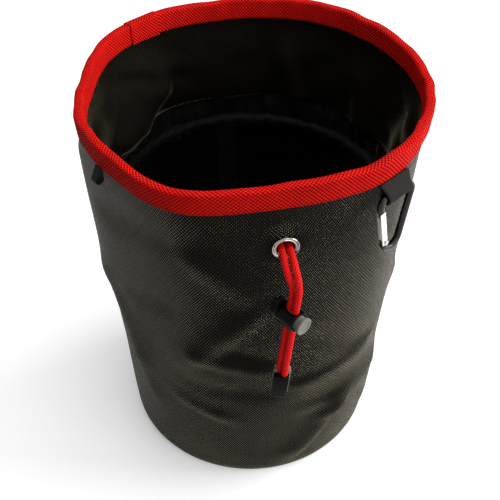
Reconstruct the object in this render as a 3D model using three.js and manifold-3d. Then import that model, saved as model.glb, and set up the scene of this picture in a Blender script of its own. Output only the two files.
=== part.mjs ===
// Peg bag: a tapered fabric bucket with a bound rim, a drawcord collar inside, a cord lock
// and a carabiner. Millimetres, +Z up, origin at the centre of the base, the eyelet at -Y.

import * as THREE from 'three';
import { mergeVertices } from 'three/addons/utils/BufferGeometryUtils.js';
import Module from 'manifold-3d';

const wasm = await Module();
wasm.setup();

// Bag
const BAG_HEIGHT = 240;
const BASE_RADIUS = 77.5;
const MOUTH_RADIUS = 95.5;
const WALL_THICKNESS = 1.0;
const BASE_THICKNESS = 1.6;
const TAPE_THICKNESS = 0.8;
const TAPE_GAP = 0.6;
const BASE_TAPE_HEIGHT = 8;
const BACK_TAPE_DROP = 42;
const CLEARANCE = 0.3;

// The soft mouth isn't round: where it is pushed out or in, over how many degrees, and how far.
const MOUTH_PUSHES = [
  { at: -120, width: 17, out: 9 },
  { at: 167, width: 23, out: -7 },
  { at: -58, width: 20, out: 2.5 },
  { at: 55, width: 26, out: 4 },
];
const PUSH_FADE = 1.6;

// Creases: ridges along lines between two [angle, height] places, how far they rise, or sink, and
// how wide they are to the left and right of the line.
const WALL_CREASES = [
  { from: [-100, 149], to: [-123, 111], rise: 3.2, left: 6, right: 9 },
  { from: [-92, 113], to: [-105, 122], rise: -1.8, left: 6, right: 6 },
  { from: [-98, 105], to: [-117, 115], rise: 2.0, left: 5, right: 6 },
  { from: [-93, 84], to: [-120, 88], rise: -1.6, left: 7, right: 7 },
  { from: [-114, 60], to: [-128, 68], rise: 2.2, left: 4, right: 6 },
  { from: [-150, 86], to: [-166, 130], rise: 3.5, left: 7, right: 6 },
  { from: [-147, 60], to: [-152, 82], rise: 2.2, left: 8, right: 6 },
  { from: [-132, 150], to: [-142, 143], rise: -2.2, left: 7, right: 7 },
  { from: [-128, 202], to: [-154, 192], rise: -2.0, left: 8, right: 8 },
  { from: [-102, 169], to: [-114, 190], rise: 2.4, left: 7, right: 8 },
  { from: [-52, 97], to: [-72, 121], rise: -2.2, left: 6, right: 7 },
  { from: [-46, 99], to: [-82, 86], rise: 2.8, left: 8, right: 5 },
  { from: [-177, 219], to: [-172, 165], rise: 4.5, left: 20, right: 20 },
  { from: [-24, 45], to: [-30, 18], rise: 3.0, left: 14, right: 16 },
  { from: [-56, 67], to: [-74, 61], rise: 1.8, left: 5, right: 5 },
  { from: [-36, 62], to: [-57, 47], rise: 3.6, left: 4, right: 9 },
  { from: [-57, 47], to: [-78, 6], rise: 4.0, left: 4, right: 10 },
  { from: [-20, 120], to: [-2, 80], rise: 2.4, left: 7, right: 10 },
  { from: [10, 150], to: [30, 105], rise: 2.2, left: 8, right: 10 },
  { from: [46, 70], to: [72, 102], rise: 2.6, left: 6, right: 10 },
  { from: [95, 130], to: [118, 90], rise: 2.6, left: 9, right: 6 },
  { from: [70, 190], to: [84, 150], rise: 2.0, left: 9, right: 9 },
  { from: [128, 60], to: [150, 85], rise: 2.4, left: 6, right: 9 },
  { from: [150, 160], to: [176, 120], rise: 2.8, left: 8, right: 8 },
];

// The collar's folds rise towards the middle of the bag.
const COLLAR_CREASES = [
  { from: [118, 212], to: [147, 170], rise: 10.0, left: 34, right: 7 },
  { from: [64, 200], to: [58, 172], rise: 4.0, left: 6, right: 6 },
  { from: [88, 215], to: [92, 180], rise: 3.0, left: 10, right: 12 },
  { from: [30, 205], to: [22, 175], rise: 4.5, left: 10, right: 10 },
  { from: [-8, 210], to: [-2, 178], rise: 3.0, left: 9, right: 12 },
  { from: [-160, 215], to: [-168, 180], rise: 5.0, left: 10, right: 12 },
  { from: [-128, 205], to: [-124, 180], rise: 3.0, left: 8, right: 8 },
];

// Creases fade beyond their ends, above the base, below the binding, by the hem and by the eyelet.
const CREASE_RADIUS = 86;
const CREASE_END = 12;
const CREASE_FOOT = 10;
const CREASE_FULL = 30;
const CREASE_TOP_FADE = 16;
const COLLAR_TOP_FADE = 23;
const COLLAR_FOOT_FADE = 17;
const EYELET_FLAT = 8;
const EYELET_FADE = 20;

// Rim binding
const BINDING_THICKNESS = 1.2;
const BINDING_DROP = 12;
const BINDING_ROUND = 0.8;

// Inner collar and its folded hem, which the drawcord runs in. Its draw is how late it leaves the
// wall. At the front it stands clear of the strands in a pocket, so many degrees wide.
const COLLAR_THICKNESS = 0.8;
const COLLAR_DRAW = 1.5;
const HEM_BORE_RADIUS = 2.6;
const GATHERS = 16;
const GATHER_DEPTH = 1.4;
const POCKET_STEP = 1.9;
const POCKET_WIDTH = 17;
const POCKET_DROP = 41;

// Eyelet
const EYELET_DROP = 38;
const EYELET_BORE_RADIUS = 4.5;
const EYELET_TUBE_WALL = 0.6;
const EYELET_FLANGE_RADIUS = 7.0;
const EYELET_FLANGE_THICKNESS = 1.2;
const WASHER_RADIUS = 7.6;
const WASHER_THICKNESS = 0.8;
const WASHER_GAP = 0.65;
const LIP_WIDTH = 0.9;
const LIP_THICKNESS = 0.6;

// The flange's rounded face: shares of its width from the edge, and of its thickness.
const FLANGE_FACE = [[0.04, 0], [0, 0.25], [0.16, 0.75], [0.5, 1], [0.82, 0.88], [1, 0.5]];

// Drawcord
const CORD_DIAMETER = 3.6;
const CORD_CLEARANCE = 0.35;

// Each strand leaves the hem, rises to the eyelet, arches through it and hangs to the cord end.
// Points are from the eyelet's centre on the wall's face.
const STRAND_RIGHT = [
  [11.1, 15.5, -37.0], [7.6, 14.8, -36.3], [4.65, 13.9, -34.4], [2.7, 12.9, -31.5],
  [2.0, 11.9, -28.1], [1.95, 10.5, -22.0], [1.95, 9.8, -15.5], [1.95, 9.7, -9.6],
  [1.95, 8.55, -5.3], [1.95, 5.4, -2.15], [1.95, 1.1, -1.0], [2.2, -4.3, -2.2],
  [2.9, -8.6, -5.7], [3.85, -11.1, -10.9], [4.45, -12.0, -16.0], [4.6, -12.06, -20.0],
  [4.24, -12.06, -24.0], [2.94, -12.06, -37.0], [1.44, -12.06, -52.0],
  [-0.06, -12.06, -67.0], [-1.36, -12.06, -80.0], [-2.36, -12.06, -90.0],
];
const STRAND_LEFT = [
  [-11.1, 15.5, -37.0], [-7.6, 14.8, -36.3], [-4.65, 13.9, -34.4], [-2.7, 12.9, -31.5],
  [-2.0, 11.9, -28.1], [-1.95, 10.5, -22.0], [-1.95, 9.8, -15.5], [-1.95, 9.7, -9.6],
  [-1.95, 8.55, -5.3], [-1.95, 5.4, -2.15], [-1.95, 1.1, -1.0], [-1.9, -4.0, -2.4],
  [-1.4, -7.6, -6.1], [-0.2, -9.2, -11.3], [1.3, -9.15, -16.0], [2.2, -8.76, -20.5],
  [2.16, -8.74, -24.0], [0.86, -8.74, -37.0], [-0.64, -8.74, -52.0],
  [-2.14, -8.74, -67.0], [-3.44, -8.74, -80.0], [-4.44, -8.74, -90.0],
];
const STRAIGHT_FROM = 16;
const RING_GAP = 0.8;
const LOCK_DROP = 37.5;
const CORD_END_DROP = 78;

// Cord lock: a barrel across the cords, with a sprung plunger in it
const LOCK_RADIUS = 5.75;
const LOCK_WALL = 1.35;
const LOCK_END = 10.8;
const LOCK_FRONT = 5.3;
const LOCK_DOME = 3.6;
const LOCK_FLOOR = 1.8;
const LOCK_FLARE = 1.3;
const LOCK_FLARE_DEPTH = 2.4;
const BUTTON_STROKE = 2.0;
const BUTTON_RADIUS = 4.85;
const BUTTON_THICKNESS = 1.5;
const BUTTON_ROUND = 0.35;
const PLUNGER_TAIL = 1.9;
const PLUNGER_POCKET = 1.3;
const LOCK_SPRING_RADIUS = 2.3;
const LOCK_SPRING_WIRE = 0.44;
const LOCK_SPRING_TURNS = 3;

// Cord end: two halves clipped round the ends of the strands, turned to face the front
const CORD_END_WIDTH = 8.2;
const CORD_END_DEPTH = 8.2;
const CORD_END_LENGTH = 15.5;
const CORD_END_LIP = 1.4;
const CORD_END_OVERHANG = 0.8;
const CORD_END_TURN = 47;

// Webbing loops under the binding
const LABEL_ANGLE = -56.5;
const LABEL_WIDTH = 21;
const LABEL_FOLD_WIDTH = 17.6;
const LABEL_THICKNESS = 0.9;
const LABEL_DROP = 7;
const LABEL_STANDOFF = 1.1;
const LABEL_EYE_CLEARANCE = 0.5;
const SIDE_LOOP_ANGLE = -150;
const SIDE_LOOP_WIDTH = 4;
const SIDE_LOOP_THICKNESS = 0.8;
const SIDE_LOOP_DROP = 6.5;
const SIDE_LOOP_EYE_RADIUS = 1.6;
const SIDE_LOOP_STANDOFF = 0.2;
const EYE_CLOSE = 0.25;

// Carabiner: a pear-shaped wire with a sprung gate on its left side
const WIRE_DIAMETER = 3.6;
const CARABINER_TOP_WIDTH = 23.4;
const CARABINER_HEIGHT = 34.4;
const CARABINER_CORNER = 3.3;
const CARABINER_FOOT_RADIUS = 6.0;
const GATE_WIDTH = 3.4;
const GATE_THICKNESS = 3.8;
const GATE_TOP = 2.9;
const GATE_FOOT = 0.8;
const GATE_SLOT_DEPTH = 4.2;
const TONGUE_THICKNESS = 1.5;
const TONGUE_OUTER = 1.2;
const TONGUE_INNER = 0.2;
const LATCH_BAR = 1.0;
const LATCH_LENGTH = 2.0;
const RIVET_RADIUS = 0.6;
const RIVET_HEAD_RADIUS = 1.3;
const RIVET_HEAD_THICKNESS = 0.4;
const GATE_BORE_RADIUS = 1.0;
const GATE_BORE_DEPTH = 10;
const GATE_SPRING_RADIUS = 0.6;
const GATE_SPRING_WIRE = 0.3;
const GATE_SPRING_TURNS = 8;

// Facets: sides and steps of the round and swept solids
const AROUND = 80;
const WALL_ROWS = 24;
const COLLAR_ROWS = [0.13, 0.27, 0.4, 0.53, 0.66, 0.81, 1];
const HEM_FACET = 67.5;
const TURNED_SIDES = 24;
const BAR_SIDES = 20;
const RIVET_SIDES = 16;
const DOME_FACET = 22.5;
const LOOP_FACETS = 10;
const SLOT_FACETS = 6;
const CORD_SIDES = 8;
const STRAND_STEPS = 34;
const RING_STEPS = 64;
const WIRE_SIDES = 10;
const WIRE_STEPS = 60;
const COIL_SIDES = 5;
const COIL_STEPS = 8;

// How far a cutter runs past a face, and how far joined solids run into each other.
const PAST = 1.0;
const BITE = 0.5;

const CORD_RADIUS = CORD_DIAMETER / 2;
const WIRE_RADIUS = WIRE_DIAMETER / 2;
const BINDING_FOOT = BAG_HEIGHT - BINDING_DROP;
const WALL_TOP = BAG_HEIGHT - BINDING_THICKNESS - CLEARANCE;
const EYELET_HEIGHT = BAG_HEIGHT - EYELET_DROP;
const POCKET_TOP = BAG_HEIGHT - POCKET_DROP;
const COLLAR_FACE = WALL_THICKNESS + CLEARANCE;
const TAPE_FACE = WALL_THICKNESS + TAPE_GAP;
const HEM_OUTER_RADIUS = HEM_BORE_RADIUS + COLLAR_THICKNESS;

const radians = THREE.MathUtils.degToRad;
const lerp = THREE.MathUtils.lerp;
const clamp = THREE.MathUtils.clamp;

const smoothstep = THREE.MathUtils.smoothstep;

// The same angle between -180 and 180 degrees.
function wrapped(angle) {
  return THREE.MathUtils.euclideanModulo(angle + 180, 360) - 180;
}

// A smooth bump of height 1 round the bag, all angles in degrees.
function bump(angle, at, width) {
  return Math.exp(-((wrapped(angle - at) / width) ** 2));
}

// How far the mouth is pushed out at an angle.
function mouthPush(angle) {
  return MOUTH_PUSHES.reduce((sum, p) => sum + p.out * bump(angle, p.at, p.width), 0);
}

// Radius of the wall's outer face at an angle, in degrees, and a height.
function wallRadius(angle, z) {
  const rise = Math.max(z, 0) / BAG_HEIGHT;
  return lerp(BASE_RADIUS, MOUTH_RADIUS, rise) + mouthPush(angle) * rise ** PUSH_FADE;
}

// A place on the cloth, laid flat, from a crease's start.
function fromStart([angle, z], [startAngle, startZ]) {
  return new THREE.Vector2(radians(wrapped(angle - startAngle)) * CREASE_RADIUS, z - startZ);
}

// How far a set of creases lifts the cloth at a place.
function creaseLift(angle, z, creases) {
  return creases.reduce((sum, { from, to, rise, left, right }) => {
    const run = fromStart(to, from);
    const here = fromStart([angle, z], from);
    const length = run.length();
    const along = here.dot(run) / length;
    const aside = run.cross(here) / length;
    const beyond = Math.max(-along, along - length, 0);
    const width = aside > 0 ? left : right;
    return sum + rise * Math.exp(-((aside / width) ** 2) - (beyond / CREASE_END) ** 2);
  }, 0);
}

// Radius of the wall's creased outer face.
function wallFace(angle, z) {
  const top = smoothstep(z, BINDING_FOOT - CREASE_TOP_FADE, BINDING_FOOT);
  const free = smoothstep(z, CREASE_FOOT, CREASE_FULL) * (1 - top);
  const across = radians(wrapped(angle + 90)) * wallRadius(-90, EYELET_HEIGHT);
  const loose = smoothstep(Math.hypot(across, z - EYELET_HEIGHT), EYELET_FLAT, EYELET_FADE);
  return wallRadius(angle, z) + creaseLift(angle, z, WALL_CREASES) * free * loose;
}

// The same between two rows of the wall's facets, where it is straight.
function facetFace(angle, z) {
  const step = WALL_TOP / WALL_ROWS;
  const row = Math.floor(z / step);
  return lerp(wallFace(angle, row * step), wallFace(angle, (row + 1) * step), z / step - row);
}

// Where a point of the drawcord's route lies.
function cordPoint([x, y, z]) {
  return new THREE.Vector3(x, y - wallRadius(-90, EYELET_HEIGHT), z + EYELET_HEIGHT);
}

const ringEnd = cordPoint(STRAND_RIGHT[0]);
const HEM_RADIUS = Math.hypot(ringEnd.x, ringEnd.y);
const HEM_HEIGHT = ringEnd.z;

function around(i) {
  return (360 * i) / AROUND;
}

function toPoint(angle, r, z) {
  return [r * Math.cos(radians(angle)), r * Math.sin(radians(angle)), z];
}

function meshGeometry(positions, triangles) {
  const geometry = new THREE.BufferGeometry();
  geometry.setAttribute('position', new THREE.Float32BufferAttribute(positions.flat(), 3));
  geometry.setIndex(triangles.flat());
  return geometry;
}

// A closed ring about the Z axis. sectionAt gives the section at an angle, as [r, z] points that
// run anticlockwise.
function ringGeometry(sectionAt) {
  const positions = [];
  const triangles = [];
  const count = sectionAt(0).length;
  for (let i = 0; i < AROUND; i++) {
    const section = sectionAt(around(i));
    section.forEach(([r, z]) => positions.push(toPoint(around(i), r, z)));
    const here = i * count;
    const next = ((i + 1) % AROUND) * count;
    for (let j = 0; j < count; j++) {
      const k = (j + 1) % count;
      triangles.push([here + j, next + j, next + k], [here + j, next + k, here + k]);
    }
  }
  return meshGeometry(positions, triangles);
}

// A solid between rings of points, each ring anticlockwise seen from the last one, with flat ends.
function loftGeometry(rings) {
  const count = rings[0].length;
  const triangles = [];
  for (let i = 0; i + 1 < rings.length; i++) {
    for (let j = 0; j < count; j++) {
      const k = (j + 1) % count;
      const a = i * count;
      const b = a + count;
      triangles.push([a + j, a + k, b + k], [a + j, b + k, b + j]);
    }
  }
  const last = (rings.length - 1) * count;
  for (let j = 1; j + 1 < count; j++) {
    triangles.push([0, j + 1, j], [last, last + j, last + j + 1]);
  }
  return meshGeometry(rings.flat(), triangles);
}

// Boolean cuts
function toSolid(geometry) {
  const bare = geometry.clone();
  bare.deleteAttribute('normal');
  bare.deleteAttribute('uv');
  const merged = mergeVertices(bare);
  const kept = [];
  const index = merged.index.array;
  for (let i = 0; i < index.length; i += 3) {
    const [a, b, c] = index.slice(i, i + 3);
    if (a !== b && b !== c && c !== a) kept.push(a, b, c);
  }
  const vertProperties = new Float32Array(merged.attributes.position.array);
  const triVerts = new Uint32Array(kept);
  return new wasm.Manifold(new wasm.Mesh({ numProp: 3, vertProperties, triVerts }));
}

function toGeometry(solid) {
  const mesh = solid.getMesh();
  const geometry = new THREE.BufferGeometry();
  geometry.setAttribute('position', new THREE.BufferAttribute(mesh.vertProperties, 3));
  geometry.setIndex(new THREE.BufferAttribute(mesh.triVerts, 1));
  return geometry;
}

function cut(geometry, ...cutters) {
  return toGeometry(cutters.reduce((solid, c) => solid.subtract(toSolid(c)), toSolid(geometry)));
}

function joined(geometry, ...others) {
  return toGeometry(others.reduce((solid, o) => solid.add(toSolid(o)), toSolid(geometry)));
}

// Simple solids
function box(x0, x1, y0, y1, z0, z1) {
  const geometry = new THREE.BoxGeometry(x1 - x0, y1 - y0, z1 - z0);
  return geometry.translate((x0 + x1) / 2, (y0 + y1) / 2, (z0 + z1) / 2);
}

// A round bar along X, Y or Z, from one place on that axis to another.
function roundBar(axis, radius, from, to, sides = BAR_SIDES) {
  const geometry = new THREE.CylinderGeometry(radius, radius, to - from, sides);
  geometry.translate(0, (from + to) / 2, 0);
  if (axis === 'x') geometry.rotateZ(-Math.PI / 2);
  if (axis === 'z') geometry.rotateX(Math.PI / 2);
  return geometry;
}

// A turned solid whose axis is X. The profile is [r, x] points that run anticlockwise.
function turnedX(profile) {
  const points = profile.map(([r, x]) => new THREE.Vector2(r, x));
  return new THREE.LatheGeometry(points, TURNED_SIDES).rotateZ(-Math.PI / 2);
}

function polygon(radius, sides) {
  const points = [];
  for (let i = 0; i < sides; i++) {
    const turn = (2 * Math.PI * (i + 0.5)) / sides;
    points.push(new THREE.Vector2(radius * Math.cos(turn), radius * Math.sin(turn)));
  }
  return new THREE.Shape(points);
}

function tubeAlong(points, radius, sides, steps) {
  const extrudePath = new THREE.CatmullRomCurve3(points);
  return new THREE.ExtrudeGeometry(polygon(radius, sides), { steps, extrudePath });
}

// A coil of wire along X, between two places.
function coil(from, to, radius, wire, turns) {
  const points = [];
  const steps = turns * COIL_STEPS;
  for (let i = 0; i <= steps; i++) {
    const turn = (2 * Math.PI * i) / COIL_STEPS;
    const x = lerp(from + wire / 2, to - wire / 2, i / steps);
    points.push(new THREE.Vector3(x, radius * Math.cos(turn), radius * Math.sin(turn)));
  }
  return tubeAlong(points, wire / 2, COIL_SIDES, steps);
}

// An outline with straight sides and round ends, from x0 to x1.
function obround(x0, x1, halfWidth) {
  const shape = new THREE.Shape();
  shape.absarc(x1 - halfWidth, 0, halfWidth, -Math.PI / 2, Math.PI / 2);
  shape.absarc(x0 + halfWidth, 0, halfWidth, Math.PI / 2, 1.5 * Math.PI);
  return shape.getPoints(SLOT_FACETS).slice(0, -1);
}

// A straight or flared prism along Z: outlines at heights.
function prism(outlines) {
  return loftGeometry(outlines.map(({ outline, z }) => outline.map((p) => [p.x, p.y, z])));
}

// Bag shell
function wallHeights() {
  return Array.from({ length: WALL_ROWS + 1 }, (_, i) => (WALL_TOP * i) / WALL_ROWS);
}

function wallGeometry() {
  return ringGeometry((angle) => {
    const outer = wallHeights().map((z) => [wallFace(angle, z), z]);
    const inner = outer.map(([r, z]) => [r - WALL_THICKNESS, z]).reverse();
    return outer.concat(inner);
  });
}

function baseGeometry() {
  const radius = BASE_RADIUS - WALL_THICKNESS - CLEARANCE;
  return roundBar('z', radius, 0, BASE_THICKNESS, AROUND);
}

function baseTapeGeometry() {
  const foot = BASE_THICKNESS + CLEARANCE;
  const top = foot + BASE_TAPE_HEIGHT;
  return ringGeometry((angle) => {
    const low = facetFace(angle, foot) - TAPE_FACE;
    const high = facetFace(angle, top) - TAPE_FACE;
    return [[low, foot], [high, top], [high - TAPE_THICKNESS, top], [low - TAPE_THICKNESS, foot]];
  });
}

// A strip on the wall's inner face, over the closing seam at the back.
function backTapeGeometry() {
  const foot = BASE_THICKNESS + BASE_TAPE_HEIGHT + 2 * CLEARANCE;
  const quarter = AROUND / 4;
  const angles = [quarter - 1, quarter, quarter + 1].map(around);
  const top = BAG_HEIGHT - BACK_TAPE_DROP;
  const between = wallHeights().filter((z) => z > foot + CLEARANCE && z < top - CLEARANCE);
  return loftGeometry([foot, ...between, top].map((z) => {
    const face = angles.map((a) => toPoint(a, facetFace(a, z) - TAPE_FACE, z));
    const back = angles.map((a) => toPoint(a, facetFace(a, z) - TAPE_FACE - TAPE_THICKNESS, z));
    return face.concat(back.reverse());
  }));
}

function bindingGeometry() {
  const out = CLEARANCE + BINDING_THICKNESS;
  const innerLeaf = COLLAR_FACE + COLLAR_THICKNESS + CLEARANCE;
  const inside = innerLeaf + BINDING_THICKNESS;
  const shoulder = BAG_HEIGHT - BINDING_ROUND;
  const roof = BAG_HEIGHT - BINDING_THICKNESS;
  return ringGeometry((angle) => {
    const foot = wallRadius(angle, BINDING_FOOT);
    const top = wallRadius(angle, BAG_HEIGHT);
    return [
      [foot + out, BINDING_FOOT], [top + out, shoulder], [top + out - BINDING_ROUND, BAG_HEIGHT],
      [top - inside + BINDING_ROUND, BAG_HEIGHT], [top - inside, shoulder],
      [foot - inside, BINDING_FOOT], [foot - innerLeaf, BINDING_FOOT], [top - innerLeaf, roof],
      [top + CLEARANCE, roof], [foot + CLEARANCE, BINDING_FOOT],
    ];
  });
}

// Radius of the collar's outer face: it leaves the wall below the binding and draws in to the hem,
// sooner at the front, where the strands of the drawcord rise behind it.
function collarRadius(angle, z) {
  const atWall = wallRadius(angle, z) - COLLAR_FACE;
  const fall = clamp((BINDING_FOOT - z) / (BINDING_FOOT - HEM_HEIGHT), 0, 1);
  const free = lerp(atWall, HEM_RADIUS + HEM_OUTER_RADIUS, fall ** COLLAR_DRAW);
  const pocketFall = clamp((BINDING_FOOT - z) / (BINDING_FOOT - POCKET_TOP), 0, 1);
  const pocket = Math.min(free, lerp(atWall, HEM_RADIUS + POCKET_STEP, pocketFall));
  const front = bump(angle, -90, POCKET_WIDTH);
  const gather = GATHER_DEPTH * Math.sin(Math.PI * fall) ** 2 * Math.cos(GATHERS * radians(angle));
  const top = smoothstep(z, BINDING_FOOT - COLLAR_TOP_FADE, BINDING_FOOT);
  const loose = smoothstep(z, HEM_HEIGHT, HEM_HEIGHT + COLLAR_FOOT_FADE) * (1 - top);
  const fold = creaseLift(angle, z, COLLAR_CREASES) * loose;
  return lerp(free + gather - fold, pocket, front);
}

function withoutStrands(geometry) {
  const room = CORD_RADIUS + CORD_CLEARANCE;
  return cut(geometry, strandGeometry(STRAND_RIGHT, room), strandGeometry(STRAND_LEFT, room));
}

function collarGeometry() {
  const foot = [HEM_RADIUS + HEM_OUTER_RADIUS, HEM_HEIGHT + CLEARANCE];
  const heights = COLLAR_ROWS.map((share) => lerp(HEM_HEIGHT, BINDING_FOOT, share)).concat(WALL_TOP);
  return withoutStrands(ringGeometry((angle) => {
    const outer = [foot].concat(heights.map((z) => [collarRadius(angle, z), z]));
    const inner = outer.map(([r, z]) => [r - COLLAR_THICKNESS, z]).reverse();
    return outer.concat(inner);
  }));
}

// The hem goes three quarters of the way round the cord, from the collar's foot under and up.
function hemArc(radius) {
  const points = [];
  for (let turn = -270; turn <= 0; turn += HEM_FACET) {
    const [r, z] = toPoint(turn, radius, 0);
    points.push([HEM_RADIUS + r, HEM_HEIGHT + z]);
  }
  return points;
}

function hemGeometry() {
  const section = hemArc(HEM_OUTER_RADIUS).concat(hemArc(HEM_BORE_RADIUS).reverse());
  return withoutStrands(ringGeometry(() => section));
}

// Drawcord
function strandGeometry(route, radius = CORD_RADIUS) {
  return tubeAlong(route.map(cordPoint), radius, CORD_SIDES, STRAND_STEPS);
}

function cordRingGeometry() {
  const half = THREE.MathUtils.radToDeg(Math.asin((ringEnd.x + RING_GAP) / HEM_RADIUS));
  const points = [];
  for (let i = 0; i <= RING_STEPS; i++) {
    const angle = lerp(-90 + half, 270 - half, i / RING_STEPS);
    points.push(new THREE.Vector3(...toPoint(angle, HEM_RADIUS, HEM_HEIGHT)));
  }
  return tubeAlong(points, CORD_RADIUS, CORD_SIDES, RING_STEPS);
}

// The frame of the hanging pair: X from the left strand to the right one, Z up along them.
const rightTop = cordPoint(STRAND_RIGHT[STRAIGHT_FROM]);
const leftTop = cordPoint(STRAND_LEFT[STRAIGHT_FROM]);
const rightFoot = cordPoint(STRAND_RIGHT.at(-1));
const leftFoot = cordPoint(STRAND_LEFT.at(-1));
const pairTop = rightTop.clone().lerp(leftTop, 0.5);
const pairFoot = rightFoot.clone().lerp(leftFoot, 0.5);
const pairUp = pairTop.clone().sub(pairFoot).normalize();
const pairAcross = rightTop.clone().sub(leftTop);
pairAcross.addScaledVector(pairUp, -pairAcross.dot(pairUp));
const pairHalf = pairAcross.length() / 2;
pairAcross.normalize();
const pairBack = pairUp.clone().cross(pairAcross);

function pairGroup(drop) {
  const group = new THREE.Group();
  group.quaternion.setFromRotationMatrix(new THREE.Matrix4().makeBasis(pairAcross, pairBack, pairUp));
  const share = (EYELET_HEIGHT - drop - pairFoot.z) / (pairTop.z - pairFoot.z);
  group.position.lerpVectors(pairFoot, pairTop, share);
  return group;
}

// Eyelet, turned about Y; its outer side faces -Y and its place on Y is measured from the wall's face.
function turnedEyelet(profile) {
  const points = profile.map(([r, out]) => new THREE.Vector2(r, out));
  return new THREE.LatheGeometry(points, TURNED_SIDES).rotateX(Math.PI);
}

const eyeletTubeRadius = EYELET_BORE_RADIUS + EYELET_TUBE_WALL;
const washerFace = -WALL_THICKNESS - WASHER_GAP;
const washerBack = washerFace - WASHER_THICKNESS;

function eyeletGeometry() {
  const seat = CLEARANCE;
  const crown = seat + EYELET_FLANGE_THICKNESS;
  const lip = washerBack - CLEARANCE;
  const lipEnd = lip - LIP_THICKNESS;
  const width = EYELET_FLANGE_RADIUS - EYELET_BORE_RADIUS;
  const face = FLANGE_FACE.map(([across, up]) => (
    [EYELET_FLANGE_RADIUS - across * width, lerp(seat, crown, up)]
  ));
  return turnedEyelet([
    [eyeletTubeRadius, seat], ...face,
    [EYELET_BORE_RADIUS, lipEnd], [eyeletTubeRadius + LIP_WIDTH, lipEnd],
    [eyeletTubeRadius + LIP_WIDTH, lip], [eyeletTubeRadius, lip], [eyeletTubeRadius, seat],
  ]);
}

function washerGeometry() {
  const bore = eyeletTubeRadius + CLEARANCE;
  return turnedEyelet([
    [bore, washerBack], [WASHER_RADIUS, washerBack], [WASHER_RADIUS, washerFace],
    [bore, washerFace], [bore, washerBack],
  ]);
}

// The wall's lean, which the eyelet follows.
const wallLean = Math.atan((MOUTH_RADIUS - BASE_RADIUS) / BAG_HEIGHT);
const eyeletGroup = new THREE.Group();
eyeletGroup.position.set(0, -wallRadius(-90, EYELET_HEIGHT), EYELET_HEIGHT);
eyeletGroup.rotation.x = wallLean;

function piercedWall() {
  const drill = WALL_THICKNESS + PAST;
  const bore = roundBar('y', eyeletTubeRadius + CLEARANCE, -drill, drill, TURNED_SIDES);
  eyeletGroup.updateMatrix();
  return cut(wallGeometry(), bore.applyMatrix4(eyeletGroup.matrix));
}

// Cord lock, with the barrel along X and the cords through it along Z
const lockBoreHalf = pairHalf + CORD_RADIUS + CORD_CLEARANCE;
const lockBoreWidth = CORD_RADIUS + CORD_CLEARANCE;
const lockCavity = LOCK_RADIUS - LOCK_WALL;
const lockCavityEnd = -LOCK_END + LOCK_FLOOR;
const plungerTail = -lockBoreHalf - PLUNGER_TAIL;
const buttonFace = LOCK_FRONT + BUTTON_STROKE + CLEARANCE;

function lockBodyGeometry() {
  const profile = [[0, -LOCK_END]];
  for (let turn = -90; turn <= 0; turn += DOME_FACET) {
    const [r, x] = toPoint(turn, LOCK_DOME, 0);
    profile.push([LOCK_RADIUS - LOCK_DOME + r, LOCK_DOME - LOCK_END + x]);
  }
  profile.push([LOCK_RADIUS, LOCK_FRONT], [lockCavity, LOCK_FRONT]);
  profile.push([lockCavity, lockCavityEnd], [0, lockCavityEnd]);
  const bore = obround(-lockBoreHalf, lockBoreHalf, lockBoreWidth);
  const wide = obround(-lockBoreHalf - LOCK_FLARE, lockBoreHalf + LOCK_FLARE / 2,
    lockBoreWidth + LOCK_FLARE);
  const past = LOCK_RADIUS + PAST;
  const narrow = LOCK_RADIUS - LOCK_FLARE_DEPTH;
  const passage = prism([{ outline: bore, z: -past }, { outline: bore, z: past }]);
  const flare = prism([{ outline: bore, z: narrow }, { outline: wide, z: past }]);
  return cut(turnedX(profile), passage, flare);
}

function lockButtonGeometry() {
  const shaft = lockCavity - CORD_CLEARANCE;
  const face = buttonFace + BUTTON_THICKNESS;
  const plunger = turnedX([
    [0, plungerTail], [shaft, plungerTail], [shaft, buttonFace], [BUTTON_RADIUS, buttonFace],
    [BUTTON_RADIUS, face - BUTTON_ROUND], [BUTTON_RADIUS - BUTTON_ROUND, face], [0, face],
  ]);
  const slot = obround(-lockBoreHalf, lockBoreHalf + BUTTON_STROKE, lockBoreWidth);
  const passage = prism([{ outline: slot, z: -LOCK_RADIUS }, { outline: slot, z: LOCK_RADIUS }]);
  const springRoom = LOCK_SPRING_RADIUS + LOCK_SPRING_WIRE / 2 + CLEARANCE;
  const pocket = roundBar('x', springRoom, plungerTail - PAST, plungerTail + PLUNGER_POCKET);
  return cut(plunger, passage, pocket);
}

function lockSpringGeometry() {
  const from = lockCavityEnd + CLEARANCE;
  const to = plungerTail + PLUNGER_POCKET - CLEARANCE;
  return coil(from, to, LOCK_SPRING_RADIUS, LOCK_SPRING_WIRE, LOCK_SPRING_TURNS);
}

// Cord end halves: front towards -Y, back towards +Y and standing out at the right and the foot.
function cordEndHalf(side) {
  const back = side > 0;
  const halfWidth = CORD_END_WIDTH / 2;
  const overhang = back ? CORD_END_OVERHANG : 0;
  const top = back ? CORD_END_LIP : 0;
  const foot = -CORD_END_LENGTH - overhang;
  const near = CLEARANCE / 2;
  const far = CORD_END_DEPTH / 2;
  const from = back ? near : -far;
  const to = back ? far : -near;
  const block = box(-halfWidth, halfWidth + overhang, from, to, foot, top);
  const room = CORD_RADIUS + CLEARANCE;
  const channelFoot = CORD_END_DROP + STRAND_RIGHT.at(-1)[2] - PAST;
  const channels = [-pairHalf, pairHalf].map((x) => (
    roundBar('z', room, channelFoot, CORD_END_LIP + PAST).translate(x, 0, 0)
      .rotateZ(-radians(CORD_END_TURN))
  ));
  return cut(block, ...channels);
}

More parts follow.
